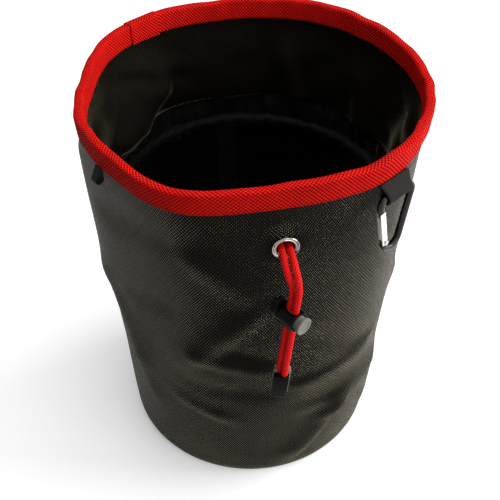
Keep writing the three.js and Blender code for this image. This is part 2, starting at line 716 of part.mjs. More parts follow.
// A folded webbing loop in a frame whose -Y faces out of the wall: X across, Z up, z = 0 at the
// binding's lower edge. Its eye has a round foot at drop below that edge.
function loopGeometry({ width, foldWidth, thickness, eyeRadius, drop, standoff }) {
  const foldRadius = eyeRadius + thickness;
  const middle = CLEARANCE + standoff + foldRadius;
  const top = -CLEARANCE;
  const doubled = 2 * thickness;
  const shape = new THREE.Shape();
  shape.moveTo(CLEARANCE + doubled, top);
  shape.lineTo(CLEARANCE, top);
  shape.absarc(middle, -drop, foldRadius, Math.PI, 2 * Math.PI + EYE_CLOSE);
  const eye = new THREE.Path();
  eye.absarc(middle, -drop, eyeRadius, Math.PI, 2 * Math.PI + EYE_CLOSE);
  eye.lineTo(CLEARANCE + thickness + EYE_CLOSE, top - doubled);
  shape.holes.push(eye);
  const geometry = new THREE.ExtrudeGeometry(shape, {
    depth: width, bevelEnabled: false, curveSegments: LOOP_FACETS,
  });
  geometry.translate(0, 0, -width / 2);
  const position = geometry.attributes.position;
  for (let i = 0; i < position.count; i++) {
    const fall = clamp((top - position.getY(i)) / (drop - foldRadius), 0, 1);
    position.setZ(i, position.getZ(i) * lerp(1, foldWidth / width, fall));
  }
  const toWall = new THREE.Matrix4().makeBasis(
    new THREE.Vector3(0, -1, 0), new THREE.Vector3(0, 0, 1), new THREE.Vector3(-1, 0, 0),
  );
  return geometry.applyMatrix4(toWall);
}

// A frame on the wall's outer face: X across, -Y out, Z up.
function wallGroup(angle, z) {
  const group = new THREE.Group();
  group.position.set(...toPoint(angle, wallRadius(angle, z), z));
  group.rotation.z = radians(angle + 90);
  return group;
}

// Carabiner, in the XZ plane of its frame, with the middle of its top bar at the origin
const cornerX = CARABINER_TOP_WIDTH / 2 - CARABINER_CORNER;
const footZ = CARABINER_FOOT_RADIUS - CARABINER_HEIGHT;
const sideRun = new THREE.Vector2(cornerX, footZ + CARABINER_CORNER);
const sideGain = CARABINER_FOOT_RADIUS - CARABINER_CORNER;
const sideTurn = Math.atan2(sideRun.x, -sideRun.y) - Math.asin(sideGain / sideRun.length());
const sideLength = Math.sqrt(sideRun.lengthSq() - sideGain ** 2);

// The left side leans by sideTurn. It starts at sideTop, below the top corner.
const sideTop = new THREE.Vector2(
  -cornerX - CARABINER_CORNER * Math.cos(sideTurn),
  -CARABINER_CORNER - CARABINER_CORNER * Math.sin(sideTurn),
);

// A point on the left side, at a distance below sideTop.
function sidePoint(below) {
  return new THREE.Vector2(Math.sin(sideTurn), -Math.cos(sideTurn)).multiplyScalar(below).add(sideTop);
}

// A frame at such a point, with Z up along the side.
function sideGroup(below) {
  const group = new THREE.Group();
  const { x, y } = sidePoint(below);
  group.position.set(x, 0, y);
  group.rotation.y = -sideTurn;
  return group;
}

const gatePivot = sideLength - GATE_FOOT - GATE_WIDTH / 2;
const gateFoot = gatePivot + GATE_WIDTH / 2;
const wireStart = GATE_TOP - 2 * CLEARANCE;
const wireEnd = gateFoot + 2 * CLEARANCE;

function carabinerGeometry() {
  const path = new THREE.Path();
  const start = sidePoint(wireStart);
  const end = sidePoint(wireEnd);
  path.moveTo(start.x, start.y);
  path.lineTo(sideTop.x, sideTop.y);
  path.absarc(-cornerX, -CARABINER_CORNER, CARABINER_CORNER, Math.PI + sideTurn, Math.PI / 2, true);
  path.absarc(cornerX, -CARABINER_CORNER, CARABINER_CORNER, Math.PI / 2, -sideTurn, true);
  path.absarc(0, footZ, CARABINER_FOOT_RADIUS, -sideTurn, -Math.PI + sideTurn, true);
  path.lineTo(end.x, end.y);
  const points = path.getSpacedPoints(WIRE_STEPS).map((p) => new THREE.Vector3(p.x, 0, p.y));
  const wire = tubeAlong(points, WIRE_RADIUS, WIRE_SIDES, WIRE_STEPS);
  const half = TONGUE_THICKNESS / 2;
  const nose = sideGroup(0);
  const foot = sideGroup(gatePivot);
  nose.updateMatrix();
  foot.updateMatrix();
  const noseTongue = box(-TONGUE_OUTER, TONGUE_INNER, -half, half,
    -GATE_TOP - GATE_SLOT_DEPTH + 2 * CLEARANCE, BITE - wireStart).applyMatrix4(nose.matrix);
  const reach = GATE_WIDTH / 2 - CLEARANCE / 2;
  const footTongue = joined(
    box(-reach, reach, -half, half, gatePivot - wireEnd - BITE, 0),
    roundBar('y', reach, -half, half),
  ).applyMatrix4(foot.matrix);
  const hole = roundBar('y', RIVET_RADIUS + CLEARANCE, -half - PAST, half + PAST, RIVET_SIDES)
    .applyMatrix4(foot.matrix);
  return cut(joined(wire, noseTongue, footTongue), hole);
}

// Gate, in a frame with its pivot at the origin and its free end up
function gateGeometry() {
  const top = gatePivot - GATE_TOP;
  const half = GATE_WIDTH / 2;
  const thick = GATE_THICKNESS / 2;
  const bar = joined(
    box(-half, half, -thick, thick, 0, top),
    roundBar('y', half, -thick, thick),
  );
  const slotHalf = TONGUE_THICKNESS / 2 + CLEARANCE;
  const past = half + PAST;
  const footSlot = box(-past, past, -slotHalf, slotHalf, -past, half + CLEARANCE);
  const slotFoot = top - GATE_SLOT_DEPTH;
  const noseSlot = box(-past, past, -slotHalf, slotHalf, slotFoot, top + PAST);
  const rivetHole = roundBar('y', RIVET_RADIUS + CLEARANCE, -thick - PAST, thick + PAST, RIVET_SIDES);
  const bore = roundBar('z', GATE_BORE_RADIUS, 0, half + GATE_BORE_DEPTH, RIVET_SIDES);
  const barFrom = TONGUE_INNER + CLEARANCE;
  const latchHalf = slotHalf + BITE;
  const latch = box(barFrom, barFrom + LATCH_BAR, -latchHalf, latchHalf,
    slotFoot - BITE, slotFoot + LATCH_LENGTH);
  return joined(cut(bar, footSlot, noseSlot, rivetHole, bore), latch);
}

function rivetGeometry() {
  const thick = GATE_THICKNESS / 2 + CLEARANCE;
  const end = thick + RIVET_HEAD_THICKNESS;
  return joined(
    roundBar('y', RIVET_RADIUS, -end, end, RIVET_SIDES),
    roundBar('y', RIVET_HEAD_RADIUS, -end, -thick, RIVET_SIDES),
    roundBar('y', RIVET_HEAD_RADIUS, thick, end, RIVET_SIDES),
  );
}

function gateSpringGeometry() {
  const from = GATE_WIDTH / 2 + CLEARANCE;
  const to = GATE_WIDTH / 2 + GATE_BORE_DEPTH - CLEARANCE;
  const spring = coil(from, to, GATE_SPRING_RADIUS, GATE_SPRING_WIRE, GATE_SPRING_TURNS);
  return spring.rotateY(-Math.PI / 2);
}

// Finishes
function finish(color, roughness, metalness) {
  return () => new THREE.MeshStandardMaterial({ color, roughness, metalness });
}

const coatedWeave = finish(0x23221f, 0.6, 0);
const lining = finish(0x100f0f, 0.55, 0);
const blackTape = finish(0x141414, 0.8, 0);
const redWebbing = finish(0xc8201a, 0.8, 0);
const redCord = finish(0xcf1c18, 0.75, 0);
const nickel = finish(0xc9c5bd, 0.25, 1);
const blackPlastic = finish(0x161616, 0.3, 0);
const greyPlastic = finish(0x8d8a82, 0.4, 0);
const springSteel = finish(0x9a9a98, 0.3, 1);
const labelWebbing = finish(0x2b2725, 0.85, 0);
const blackAnodised = finish(0x1c1a1a, 0.35, 0.8);
const silver = finish(0xd8d4cc, 0.3, 1);

function piece(parent, name, geometry, material) {
  const mesh = new THREE.Mesh(geometry, material());
  mesh.name = name;
  parent.add(mesh);
}

const bag = new THREE.Group();
piece(bag, 'wall_panel', piercedWall(), coatedWeave);
piece(bag, 'base_panel', baseGeometry(), coatedWeave);
piece(bag, 'base_seam_tape', baseTapeGeometry(), blackTape);
piece(bag, 'back_seam_tape', backTapeGeometry(), blackTape);
piece(bag, 'rim_binding', bindingGeometry(), redWebbing);
piece(bag, 'inner_collar', collarGeometry(), lining);
piece(bag, 'collar_hem', hemGeometry(), lining);

piece(bag, 'drawcord_ring', cordRingGeometry(), redCord);
piece(bag, 'drawcord_left', strandGeometry(STRAND_LEFT), redCord);
piece(bag, 'drawcord_right', strandGeometry(STRAND_RIGHT), redCord);

piece(eyeletGroup, 'eyelet', eyeletGeometry(), nickel);
piece(eyeletGroup, 'eyelet_washer', washerGeometry(), nickel);
bag.add(eyeletGroup);

const cordLock = pairGroup(LOCK_DROP);
piece(cordLock, 'cord_lock_body', lockBodyGeometry(), blackPlastic);
piece(cordLock, 'cord_lock_button', lockButtonGeometry(), greyPlastic);
piece(cordLock, 'cord_lock_spring', lockSpringGeometry(), springSteel);
bag.add(cordLock);

const cordEnd = pairGroup(CORD_END_DROP);
cordEnd.rotateZ(radians(CORD_END_TURN));
piece(cordEnd, 'cord_end_front', cordEndHalf(-1), blackPlastic);
piece(cordEnd, 'cord_end_back', cordEndHalf(1), blackPlastic);
bag.add(cordEnd);

const label = wallGroup(LABEL_ANGLE, BINDING_FOOT);
piece(label, 'label_loop', loopGeometry({
  width: LABEL_WIDTH,
  foldWidth: LABEL_FOLD_WIDTH,
  thickness: LABEL_THICKNESS,
  eyeRadius: WIRE_RADIUS + LABEL_EYE_CLEARANCE,
  drop: LABEL_DROP,
  standoff: LABEL_STANDOFF,
}), labelWebbing);

const carabiner = new THREE.Group();
const barOut = CLEARANCE + LABEL_STANDOFF + WIRE_RADIUS + LABEL_EYE_CLEARANCE + LABEL_THICKNESS;
carabiner.position.set(0, -barOut, -LABEL_DROP);
piece(carabiner, 'carabiner_body', carabinerGeometry(), blackAnodised);
const gate = sideGroup(gatePivot);
piece(gate, 'carabiner_gate', gateGeometry(), silver);
piece(gate, 'gate_rivet', rivetGeometry(), springSteel);
piece(gate, 'gate_spring', gateSpringGeometry(), springSteel);
carabiner.add(gate);
label.add(carabiner);
bag.add(label);

const sideLoop = wallGroup(SIDE_LOOP_ANGLE, BINDING_FOOT);
piece(sideLoop, 'side_loop', loopGeometry({
  width: SIDE_LOOP_WIDTH,
  foldWidth: SIDE_LOOP_WIDTH,
  thickness: SIDE_LOOP_THICKNESS,
  eyeRadius: SIDE_LOOP_EYE_RADIUS,
  drop: SIDE_LOOP_DROP,
  standoff: SIDE_LOOP_STANDOFF,
}), blackTape);
bag.add(sideLoop);

export default bag;
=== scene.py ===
"""Peg bag: its cloth, cord and fittings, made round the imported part.

Metres and degrees, +Z up, the origin at the centre of the base and the eyelet at -Y.
Angles round the bag start at +X and run anticlockwise seen from above.
"""

import math

import bmesh
import bpy
from mathutils import Matrix, Vector, noise


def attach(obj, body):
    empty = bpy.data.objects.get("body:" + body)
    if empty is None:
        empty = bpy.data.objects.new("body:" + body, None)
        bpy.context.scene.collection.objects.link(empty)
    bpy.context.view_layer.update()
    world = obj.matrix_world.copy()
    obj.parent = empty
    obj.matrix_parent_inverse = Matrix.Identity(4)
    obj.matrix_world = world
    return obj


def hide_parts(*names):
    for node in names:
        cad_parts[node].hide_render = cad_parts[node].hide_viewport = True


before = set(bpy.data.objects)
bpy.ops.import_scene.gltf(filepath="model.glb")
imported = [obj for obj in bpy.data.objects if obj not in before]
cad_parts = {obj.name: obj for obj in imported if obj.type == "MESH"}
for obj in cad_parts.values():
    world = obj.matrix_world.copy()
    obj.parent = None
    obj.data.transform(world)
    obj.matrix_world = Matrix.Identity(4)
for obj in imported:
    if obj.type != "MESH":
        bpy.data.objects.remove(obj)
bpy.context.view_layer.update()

# Bag
BAG_HEIGHT = 0.240
BASE_RADIUS = 0.0775
MOUTH_RADIUS = 0.0955
WALL_THICKNESS = 0.001
WALL_TOP = 0.2385
WALL_LEAN = math.atan((MOUTH_RADIUS - BASE_RADIUS) / BAG_HEIGHT)
WALL_STEPS = 256
WALL_ROWS = 100
CLEARANCE = 0.0003
FRONT = -90
BACK = 90

# Where the soft mouth is pushed out or in: angle, degrees wide, how far.
MOUTH_PUSHES = ((-120, 17, 0.009), (167, 23, -0.007), (-58, 20, 0.0025), (55, 26, 0.004))
PUSH_FADE = 1.6

# Slow waves of the cloth: how long, and how high. The hem's height is a share of its radius.
SLACK_RADIUS = 0.09
WALL_SLACK = (0.045, 0.0009)
COLLAR_SLACK = (0.03, 0.004)
RIM_LIFT = (0.019, 0.0013)
RIM_LUMPS = (0.013, 0.0010)
HEM_SLACK = (0.012, 0.4)

# Base and tapes
BASE_THICKNESS = 0.0016
BASE_EDGE_HEIGHT = 0.007
BASE_EDGE_TUCK = 0.0018
BASE_ROUNDING = 0.0008
BASE_STEPS = 128
TAPE_THICKNESS = 0.0008
TAPE_FACE = WALL_THICKNESS + 0.0006
BASE_TAPE_HEIGHT = 0.008
BASE_TAPE_ROWS = 4
BACK_TAPE_WIDTH = 0.012
BACK_TAPE_TOP = 0.198
BACK_TAPE_GRID = (8, 80)

# Rim binding
BINDING_FOOT = 0.228
BINDING_THICKNESS = 0.0012
BINDING_INNER = -0.0036
BINDING_STEPS = 300
BINDING_ROUNDING = 0.0009
BINDING_SPACING = 0.0011
BINDING_EASE = 0.0004
STITCHES_AT = BINDING_FOOT + 0.0022
OVERLAP_FROM = 116
OVERLAP_TO = 129
OVERLAP_STEP = 0.0007
OVERLAP_STEPS = 14

# Collar inside the mouth: the facing goes down to its foot, the gathered lining on to the hem
COLLAR_FACE = WALL_THICKNESS + CLEARANCE
COLLAR_THICKNESS = 0.0008
COLLAR_DRAW = 1.5
FACING_FOOT = 0.180
FACING_ROWS = 26
POCKET_STEP = 0.0019
POCKET_WIDTH = 17
POCKET_TOP = 0.199
LINING_TOP = FACING_FOOT + 0.006
LINING_THICKNESS = 0.0004
LINING_ROWS = 16
LINING_BEHIND = 0.0012
LINING_LEAN = 9
GATHERS = 52
GATHER_DEPTH = 0.0019
GATHER_STEPS = 560
HEM_HEIGHT = 0.165
HEM_OUTER = 0.0034
HEM_SIDES = 16
HEM_THICKNESS = 0.0003
HEM_RUFFLE = 0.16
HEM_LEAN = 5

# Eyelet
EYELET_HEIGHT = 0.202
EYELET_BORE = 0.0045
EYELET_TUBE = 0.0051
EYELET_FLANGE = 0.0070
EYELET_LIP = -0.0033
EYELET_STEPS = 64
EYELET_ROUNDING = 0.0003
WASHER_RADIUS = 0.0076
WASHER_FACE = -0.00165
WASHER_BACK = -0.00245
HOLE_EDGE = 0.0056
HOLE_REACH = 0.016
HOLE_CORE = 0.002
HOLE_CUT = 0.0027
HOLE_FINE = HOLE_REACH * 0.7
HOLE_CUTS = 3

# Drawcord: each strand's route from the hem, up behind the collar, out through the eyelet and down
# to the cord end. Places are from the eyelet's centre on the wall's face. Up to the eyelet the left
# strand mirrors the right one; below the bends both hang straight.
CORD_DIAMETER = 0.0036
CORD_SIDES = 20
CORD_STEP = 0.0009
STRAND_INSIDE = (
    (0.0111, 0.0155, -0.037), (0.0076, 0.0148, -0.0363), (0.00465, 0.0139, -0.0344),
    (0.0027, 0.0129, -0.0315), (0.002, 0.0119, -0.0281), (0.00195, 0.0105, -0.022),
    (0.00195, 0.0098, -0.0155), (0.00195, 0.0097, -0.0096), (0.00195, 0.00855, -0.0053),
    (0.00195, 0.0054, -0.00215), (0.00195, 0.0011, -0.001),
)
RIGHT_BEND = (
    (0.0022, -0.0043, -0.0022), (0.0029, -0.0086, -0.0057), (0.00385, -0.0111, -0.0109),
    (0.00445, -0.012, -0.016), (0.0046, -0.01206, -0.02), (0.00424, -0.01206, -0.024),
)
LEFT_BEND = (
    (-0.0019, -0.004, -0.0024), (-0.0014, -0.0076, -0.0061), (-0.0002, -0.0092, -0.0113),
    (0.0013, -0.00915, -0.016), (0.0022, -0.00876, -0.0205), (0.00216, -0.00874, -0.024),
)
HANG_HEIGHTS = (-0.037, -0.052, -0.067, -0.08, -0.09)
HANG_LEAN = 0.1
LOCK_DROP = 0.0375
CORD_END_DROP = 0.078
RING_GAP = 0.0008
RING_STEPS = 240

# Cord lock
LOCK_RADIUS = 0.00575
LOCK_END = 0.0108
LOCK_FRONT = 0.0053
LOCK_CAVITY = 0.0044
LOCK_FLOOR = LOCK_FRONT - 0.004
LOCK_ROUNDING = 0.0009
LOCK_SPACING = 0.0005
LOCK_STEPS = 64
DISH_RADIUS = 0.0036
DISH_STRETCH = 1.5
DISH_DEPTH = 0.0022
DISH_FROM = 0.002
STEM_RADIUS = LOCK_CAVITY - 0.0004
STEM_FOOT = -0.0012
BUTTON_FOOT = 0.0076
BUTTON_FACE = 0.0091
BUTTON_HOLLOW = BUTTON_FACE - 0.0003
BUTTON_RADIUS = 0.00485
BUTTON_ROUNDING = 0.0004
BUTTON_STEPS = 48

# Cord end
CORD_END_WIDTH = 0.0082
CORD_END_DEPTH = 0.0082
CORD_END_LENGTH = 0.0155
CORD_END_LIP = 0.0014
# The back half's overhang shows its light grey at the right and foot as a painted highlight.
CORD_END_OVERHANG = 0.0008
CORD_END_TURN = 47
COVER_ROUNDING = 0.0007
TRAY_ROUNDING = 0.0006

# Webbing loops
LOOP_TOP = 0.0002
LOOP_STEP = 0.0005
LOOP_COLUMNS = 14
FOLD_STEPS = 24
FOLD_PAST_HALF = 0.25
LABEL = {"thickness": 0.0009, "eye": 0.0023, "drop": 0.007, "standoff": 0.0011}
LABEL_ANGLE = -56.5
LABEL_WIDTH = 0.021
LABEL_FOLD_WIDTH = 0.0176
SIDE_LOOP = {"thickness": 0.0008, "eye": 0.0016, "drop": 0.0065, "standoff": 0.0002}
SIDE_LOOP_ANGLE = -150
SIDE_LOOP_WIDTH = 0.004

# Carabiner
WIRE_RADIUS = 0.0018
WIRE_SIDES = 24
WIRE_STEP = 0.0007
CARABINER_TOP_WIDTH = 0.0234
CARABINER_HEIGHT = 0.0344
CARABINER_CORNER = 0.0033
CARABINER_FOOT = 0.006
ARC_STEPS = 20
GATE_WIDTH = 0.0034
GATE_THICKNESS = 0.0038
GATE_TOP = 0.0029
GATE_FOOT = 0.0008
GATE_SLOT_HALF = 0.00105
GATE_SLOT_DEPTH = 0.0042
GATE_ROUNDING = 0.0006
GATE_SEGMENTS = 4
TONGUE_HALF = 0.00075
NOSE_TONGUE = (-0.0012, 0.0002)
NOSE_ROUNDING = 0.0002
HEEL_TONGUE_FOOT = -0.0045
HEEL_ROUNDING = 0.0004

# Camera, floor and light
CAMERA_PLACE = (-0.0747, -0.4031, 0.479)
CAMERA_PITCH = 40.6
CAMERA_TURN = -10.5
CAMERA_LENS = 63.65
CAMERA_SHIFT_Y = -0.0192
WORLD_LIGHT = 0.11
FLOOR_HALF = 6.0
FLOOR_GLOW = 0.28
FLOOR_PALE = 0.84
FLOOR_BOUNCE = 0.35

# Mesh tools
CLOTH_SHARP = 75
MERGE_GAP = 1e-6
CORNER_STEPS = 4
CORNER_SHARE = 0.45
ROUTE_CUTS = 24
BLOCK_SEGMENTS = 3

# Ridges in the cloth along lines: the angle and height of both ends, how far each one rises, and
# its widths on the left and right of the line.
WALL_CREASES = (
    (-100, 0.149, -123, 0.111, 0.0025, 0.006, 0.009),
    (-92, 0.113, -105, 0.122, -0.0014, 0.006, 0.006),
    (-98, 0.105, -117, 0.115, 0.0016, 0.005, 0.006),
    (-93, 0.084, -120, 0.088, -0.0012, 0.007, 0.007),
    (-114, 0.060, -128, 0.068, 0.0017, 0.004, 0.006),
    (-150, 0.086, -166, 0.130, 0.0022, 0.008, 0.008),
    (-147, 0.060, -152, 0.082, 0.0015, 0.008, 0.006),
    (-132, 0.150, -142, 0.143, -0.0016, 0.007, 0.007),
    (-128, 0.202, -154, 0.192, -0.0015, 0.008, 0.008),
    (-102, 0.169, -114, 0.190, 0.0018, 0.007, 0.008),
    (-52, 0.099, -72, 0.122, -0.0014, 0.006, 0.007),
    (-50, 0.0935, -80, 0.088, 0.0019, 0.010, 0.005),
    (-177, 0.219, -172, 0.140, 0.0035, 0.020, 0.020),
    (-24, 0.045, -30, 0.018, 0.002, 0.014, 0.016),
    (-56, 0.062, -74, 0.061, 0.001, 0.005, 0.005),
    (-36, 0.057, -61, 0.050, 0.0026, 0.004, 0.010),
    (-61, 0.050, -81, 0.010, 0.0032, 0.004, 0.012),
    (-20, 0.120, -2, 0.080, 0.002, 0.007, 0.010),
    (10, 0.150, 30, 0.105, 0.002, 0.008, 0.010),
    (46, 0.070, 72, 0.102, 0.0022, 0.006, 0.010),
    (95, 0.130, 118, 0.090, 0.0022, 0.009, 0.006),
    (70, 0.190, 84, 0.150, 0.002, 0.009, 0.009),
    (128, 0.060, 150, 0.085, 0.0022, 0.006, 0.009),
    (150, 0.160, 176, 0.120, 0.0026, 0.008, 0.008),
)

# Inside, a rise is towards the middle of the bag.
COLLAR_CREASES = (
    (121, 0.198, 147, 0.170, 0.01, 0.034, 0.008),
    (112, 0.199, 140, 0.2125, -0.0034, 0.005, 0.005),
    (64, 0.200, 58, 0.172, 0.004, 0.006, 0.006),
    (88, 0.215, 92, 0.180, 0.003, 0.010, 0.012),
    (30, 0.205, 22, 0.175, 0.0045, 0.010, 0.010),
    (-8, 0.210, -2, 0.178, 0.003, 0.009, 0.012),
    (-160, 0.215, -168, 0.180, 0.005, 0.010, 0.012),
    (-128, 0.205, -124, 0.180, 0.003, 0.008, 0.008),
)
CREASE_RADIUS = 0.086
CREASE_END = 0.012
CREASE_FOOT = 0.004
CREASE_FULL = 0.022
CREASE_TOP_FADE = 0.016
COLLAR_TOP_FADE = 0.023
COLLAR_FOOT_FADE = 0.017
EYELET_FLAT = 0.008
EYELET_FADE = 0.020


# Shape of the cloth


def wrapped(angle):
    return (angle + 180) % 360 - 180


def mix(low, high, share):
    return low + (high - low) * share


def steps_between(low, high, count):
    """Evenly spaced values from low to high, both included."""
    return [mix(low, high, i / count) for i in range(count + 1)]


def share_between(value, low, high):
    return min(max((value - low) / (high - low), 0.0), 1.0)


def smooth_share(value, low, high):
    share = share_between(value, low, high)
    return share * share * (3 - 2 * share)


def bump(angle, at, width):
    return math.exp(-((wrapped(angle - at) / width) ** 2))


def round_place(angle, radius, z):
    turn = math.radians(angle)
    return Vector((radius * math.cos(turn), radius * math.sin(turn), z))


def angle_of(place):
    return math.degrees(math.atan2(place.y, place.x))


def noise_round(angle, radius, level):
    """Noise along a circle, from -1 to 1: the larger the radius, the quicker it changes."""
    return noise.noise(round_place(angle, radius, level))


def wall_radius(angle, z):
    """Radius of the wall's outer face before any creases."""
    rise = max(z, 0.0) / BAG_HEIGHT
    push = sum(out * bump(angle, at, width) for at, width, out in MOUTH_PUSHES)
    return mix(BASE_RADIUS, MOUTH_RADIUS, rise) + push * rise**PUSH_FADE


EYELET_RADIUS = wall_radius(FRONT, EYELET_HEIGHT)
EYELET_CENTRE = Vector((0, -EYELET_RADIUS, EYELET_HEIGHT))
HEM_RADIUS = math.hypot(STRAND_INSIDE[0][0], STRAND_INSIDE[0][1] - EYELET_RADIUS)


def crease_lift(angle, z, creases):
    """How far a set of creases lifts the cloth at a place."""
    lift = 0.0
    for from_angle, from_z, to_angle, to_z, rise, left, right in creases:
        run = Vector((math.radians(wrapped(to_angle - from_angle)) * CREASE_RADIUS, to_z - from_z))
        here = Vector((math.radians(wrapped(angle - from_angle)) * CREASE_RADIUS, z - from_z))
        length = run.length
        along = here.dot(run) / length
        aside = run.cross(here) / length
        beyond = max(-along, along - length, 0.0)
        width = left if aside > 0 else right
        lift += rise * math.exp(-((aside / width) ** 2) - (beyond / CREASE_END) ** 2)
    return lift


def slack(angle, z, size, amount):
    """Slow waves that keep cloth from looking turned on a lathe."""
    return amount * noise.noise(round_place(angle, SLACK_RADIUS, z) / size)


def wall_face(angle, z):
    """Radius of the wall's creased outer face."""
    free = smooth_share(z, CREASE_FOOT, CREASE_FULL)
    free *= 1 - smooth_share(z, BINDING_FOOT - CREASE_TOP_FADE, BINDING_FOOT)
    lift = crease_lift(angle, z, WALL_CREASES) + slack(angle, z, *WALL_SLACK)
    tuck = BASE_EDGE_TUCK * (1 - share_between(z, 0.0, BASE_EDGE_HEIGHT)) ** 2
    across = math.radians(wrapped(angle - FRONT)) * EYELET_RADIUS
    loose = smooth_share(math.hypot(across, z - EYELET_HEIGHT), EYELET_FLAT, EYELET_FADE)
    return wall_radius(angle, z) + lift * free * loose - tuck


def off_pocket(angle):
    """0 at the front, where the strands rise behind the collar, and 1 away from it."""
    return 1 - bump(angle, FRONT, POCKET_WIDTH)


def collar_radius(angle, z):
    """Radius of the collar's outer face before any gathers: it draws in from the wall to the hem,
    sooner at the front, where the strands rise behind it."""
    at_wall = wall_radius(angle, z) - COLLAR_FACE
    fall = share_between(BINDING_FOOT - z, 0.0, BINDING_FOOT - HEM_HEIGHT)
    free = mix(at_wall, HEM_RADIUS + HEM_OUTER, fall**COLLAR_DRAW)
    pocket_fall = share_between(BINDING_FOOT - z, 0.0, BINDING_FOOT - POCKET_TOP)
    pocket = min(free, mix(at_wall, HEM_RADIUS + POCKET_STEP, pocket_fall))
    return mix(pocket, free, off_pocket(angle))


def collar_face(angle, z):
    """Radius of the facing and lining with their folds, which die out at the binding and hem."""
    free = smooth_share(z, HEM_HEIGHT, HEM_HEIGHT + COLLAR_FOOT_FADE)
    free *= 1 - smooth_share(z, BINDING_FOOT - COLLAR_TOP_FADE, BINDING_FOOT)
    inward = crease_lift(angle, z, COLLAR_CREASES) + abs(slack(angle, z, *COLLAR_SLACK))
    return collar_radius(angle, z) - inward * free * off_pocket(angle)


def gather(angle):
    """The lining's gathers round the hem, from -1 to 1: folds of uneven width and depth."""
    turn = math.radians(angle)
    drift = noise_round(angle, 2.6, 0.0) + 0.6 * noise_round(angle, 7.0, 1.0)
    depth = 0.65 + 0.7 * noise_round(angle, 5.0, 2.0)
    narrow = math.cos(GATHERS * turn + 5 * drift)
    wide = math.cos(GATHERS * 0.55 * turn - 4 * drift)
    return depth * (0.7 * narrow + 0.3 * wide)


def flat_cone(angle, z):
    """Where a place on the tapered wall lies on the flat cloth that it is cut from."""
    slant = mix(BASE_RADIUS, MOUTH_RADIUS, z / BAG_HEIGHT) / math.sin(WALL_LEAN)
    turn = math.radians(angle - FRONT) * math.sin(WALL_LEAN)
    return slant * math.sin(turn), slant * math.cos(turn)


def flat_band(angle, z):
    """A place on a band round the mouth: metres along it, and metres up."""
    return math.radians(angle) * MOUTH_RADIUS, z


# Mesh tools


def put(bm, to_place):
    bmesh.ops.transform(bm, matrix=to_place, verts=bm.verts)
    return bm


def spin_chain(bm, chain, steps, sweep=360, closed=False):
    """Spins a chain of points about Z. A closed chain runs back to its first point."""
    ends = chain[1:] + chain[:1] if closed else chain[1:]
    edges = [bm.edges.new(pair) for pair in zip(chain, ends)]
    bmesh.ops.spin(
        bm, geom=chain + edges, cent=(0, 0, 0), axis=(0, 0, 1), angle=math.radians(sweep),
        steps=steps, use_merge=sweep >= 360,
    )


def face_out(bm):
    bmesh.ops.recalc_face_normals(bm, faces=bm.faces)


def close_ends(bm):
    bmesh.ops.holes_fill(bm, edges=[e for e in bm.edges if e.is_boundary], sides=0)


def lay_round(bm, zero, cloth_place):
    """UV of a sheet round the bag, cut open opposite the angle zero. cloth_place takes an angle
    and a vertex and gives its place on the flat cloth."""
    uv = bm.loops.layers.uv.new("cloth")
    for face in bm.faces:
        facing = wrapped(angle_of(face.calc_center_median()) - zero)
        for loop in face.loops:
            turn = angle_of(loop.vert.co) - zero
            angle = facing + wrapped(turn - facing) + zero
            loop[uv].uv = cloth_place(angle, loop.vert)


def lay_flat(bm, cloth_place):
    """UV of a flat piece. cloth_place takes a vertex's place and gives that on the cloth."""
    uv = bm.loops.layers.uv.new("cloth")
    for face in bm.faces:
        for loop in face.loops:
            loop[uv].uv = cloth_place(loop.vert.co)


def sheet_round(heights, steps, place, cloth_place=flat_cone):
    """A sheet round the bag: a column of points spun about Z, each then moved to its place.
    place and cloth_place take (angle, height) and give the point and its UV on the flat cloth."""
    bm = bmesh.new()
    spin_chain(bm, [bm.verts.new(round_place(BACK, 1.0, z)) for z in heights], steps)
    face_out(bm)
    lay_round(bm, FRONT, lambda angle, vert: cloth_place(angle, vert.co.z))
    for vert in bm.verts:
        vert.co = place(angle_of(vert.co), vert.co.z)
    return bm


def turned(profile, steps, to_place):
    """A turned piece: a profile of (radius, height) points spun about Z and put in its place."""
    bm = bmesh.new()
    spin_chain(bm, [bm.verts.new((r, 0, h)) for r, h in profile], steps)
    bmesh.ops.remove_doubles(bm, verts=bm.verts, dist=MERGE_GAP)
    face_out(bm)
    return put(bm, to_place)


def rounded_profile(points, radius):
    """A profile whose inner corners are rounded."""
    made = [Vector(points[0])]
    for before, corner, after in zip(points, points[1:], points[2:]):
        corner = Vector(corner)
        back, on = Vector(before) - corner, Vector(after) - corner
        reach = min(radius, back.length * CORNER_SHARE, on.length * CORNER_SHARE)
        start, end = corner + back.normalized() * reach, corner + on.normalized() * reach
        for t in steps_between(0, 1, CORNER_STEPS):
            made.append(start * (1 - t) ** 2 + corner * 2 * t * (1 - t) + end * t * t)
    return [tuple(p) for p in made] + [tuple(points[-1])]


def between(start, end, t, low, high):
    """The place at t on a line that runs from start, at low, to end, at high."""
    return start.lerp(end, (t - low) / (high - low))


def smooth_route(points, spacing):
    """A smooth line through given points, cut into even steps."""
    fine = []
    padded = [points[0] * 2 - points[1], *points, points[-1] * 2 - points[-2]]
    for before, start, end, after in zip(padded, padded[1:], padded[2:], padded[3:]):
        k1 = math.sqrt((start - before).length)
        k2 = k1 + math.sqrt((end - start).length)
        k3 = k2 + math.sqrt((after - end).length)
        for t in steps_between(k1, k2, ROUTE_CUTS)[:-1]:
            middle = between(start, end, t, k1, k2)
            early = between(between(before, start, t, 0.0, k1), middle, t, 0.0, k2)
            late = between(middle, between(end, after, t, k2, k3), t, k1, k3)
            fine.append(between(early, late, t, k1, k2))
    fine.append(points[-1])
    return even_steps(fine, spacing)


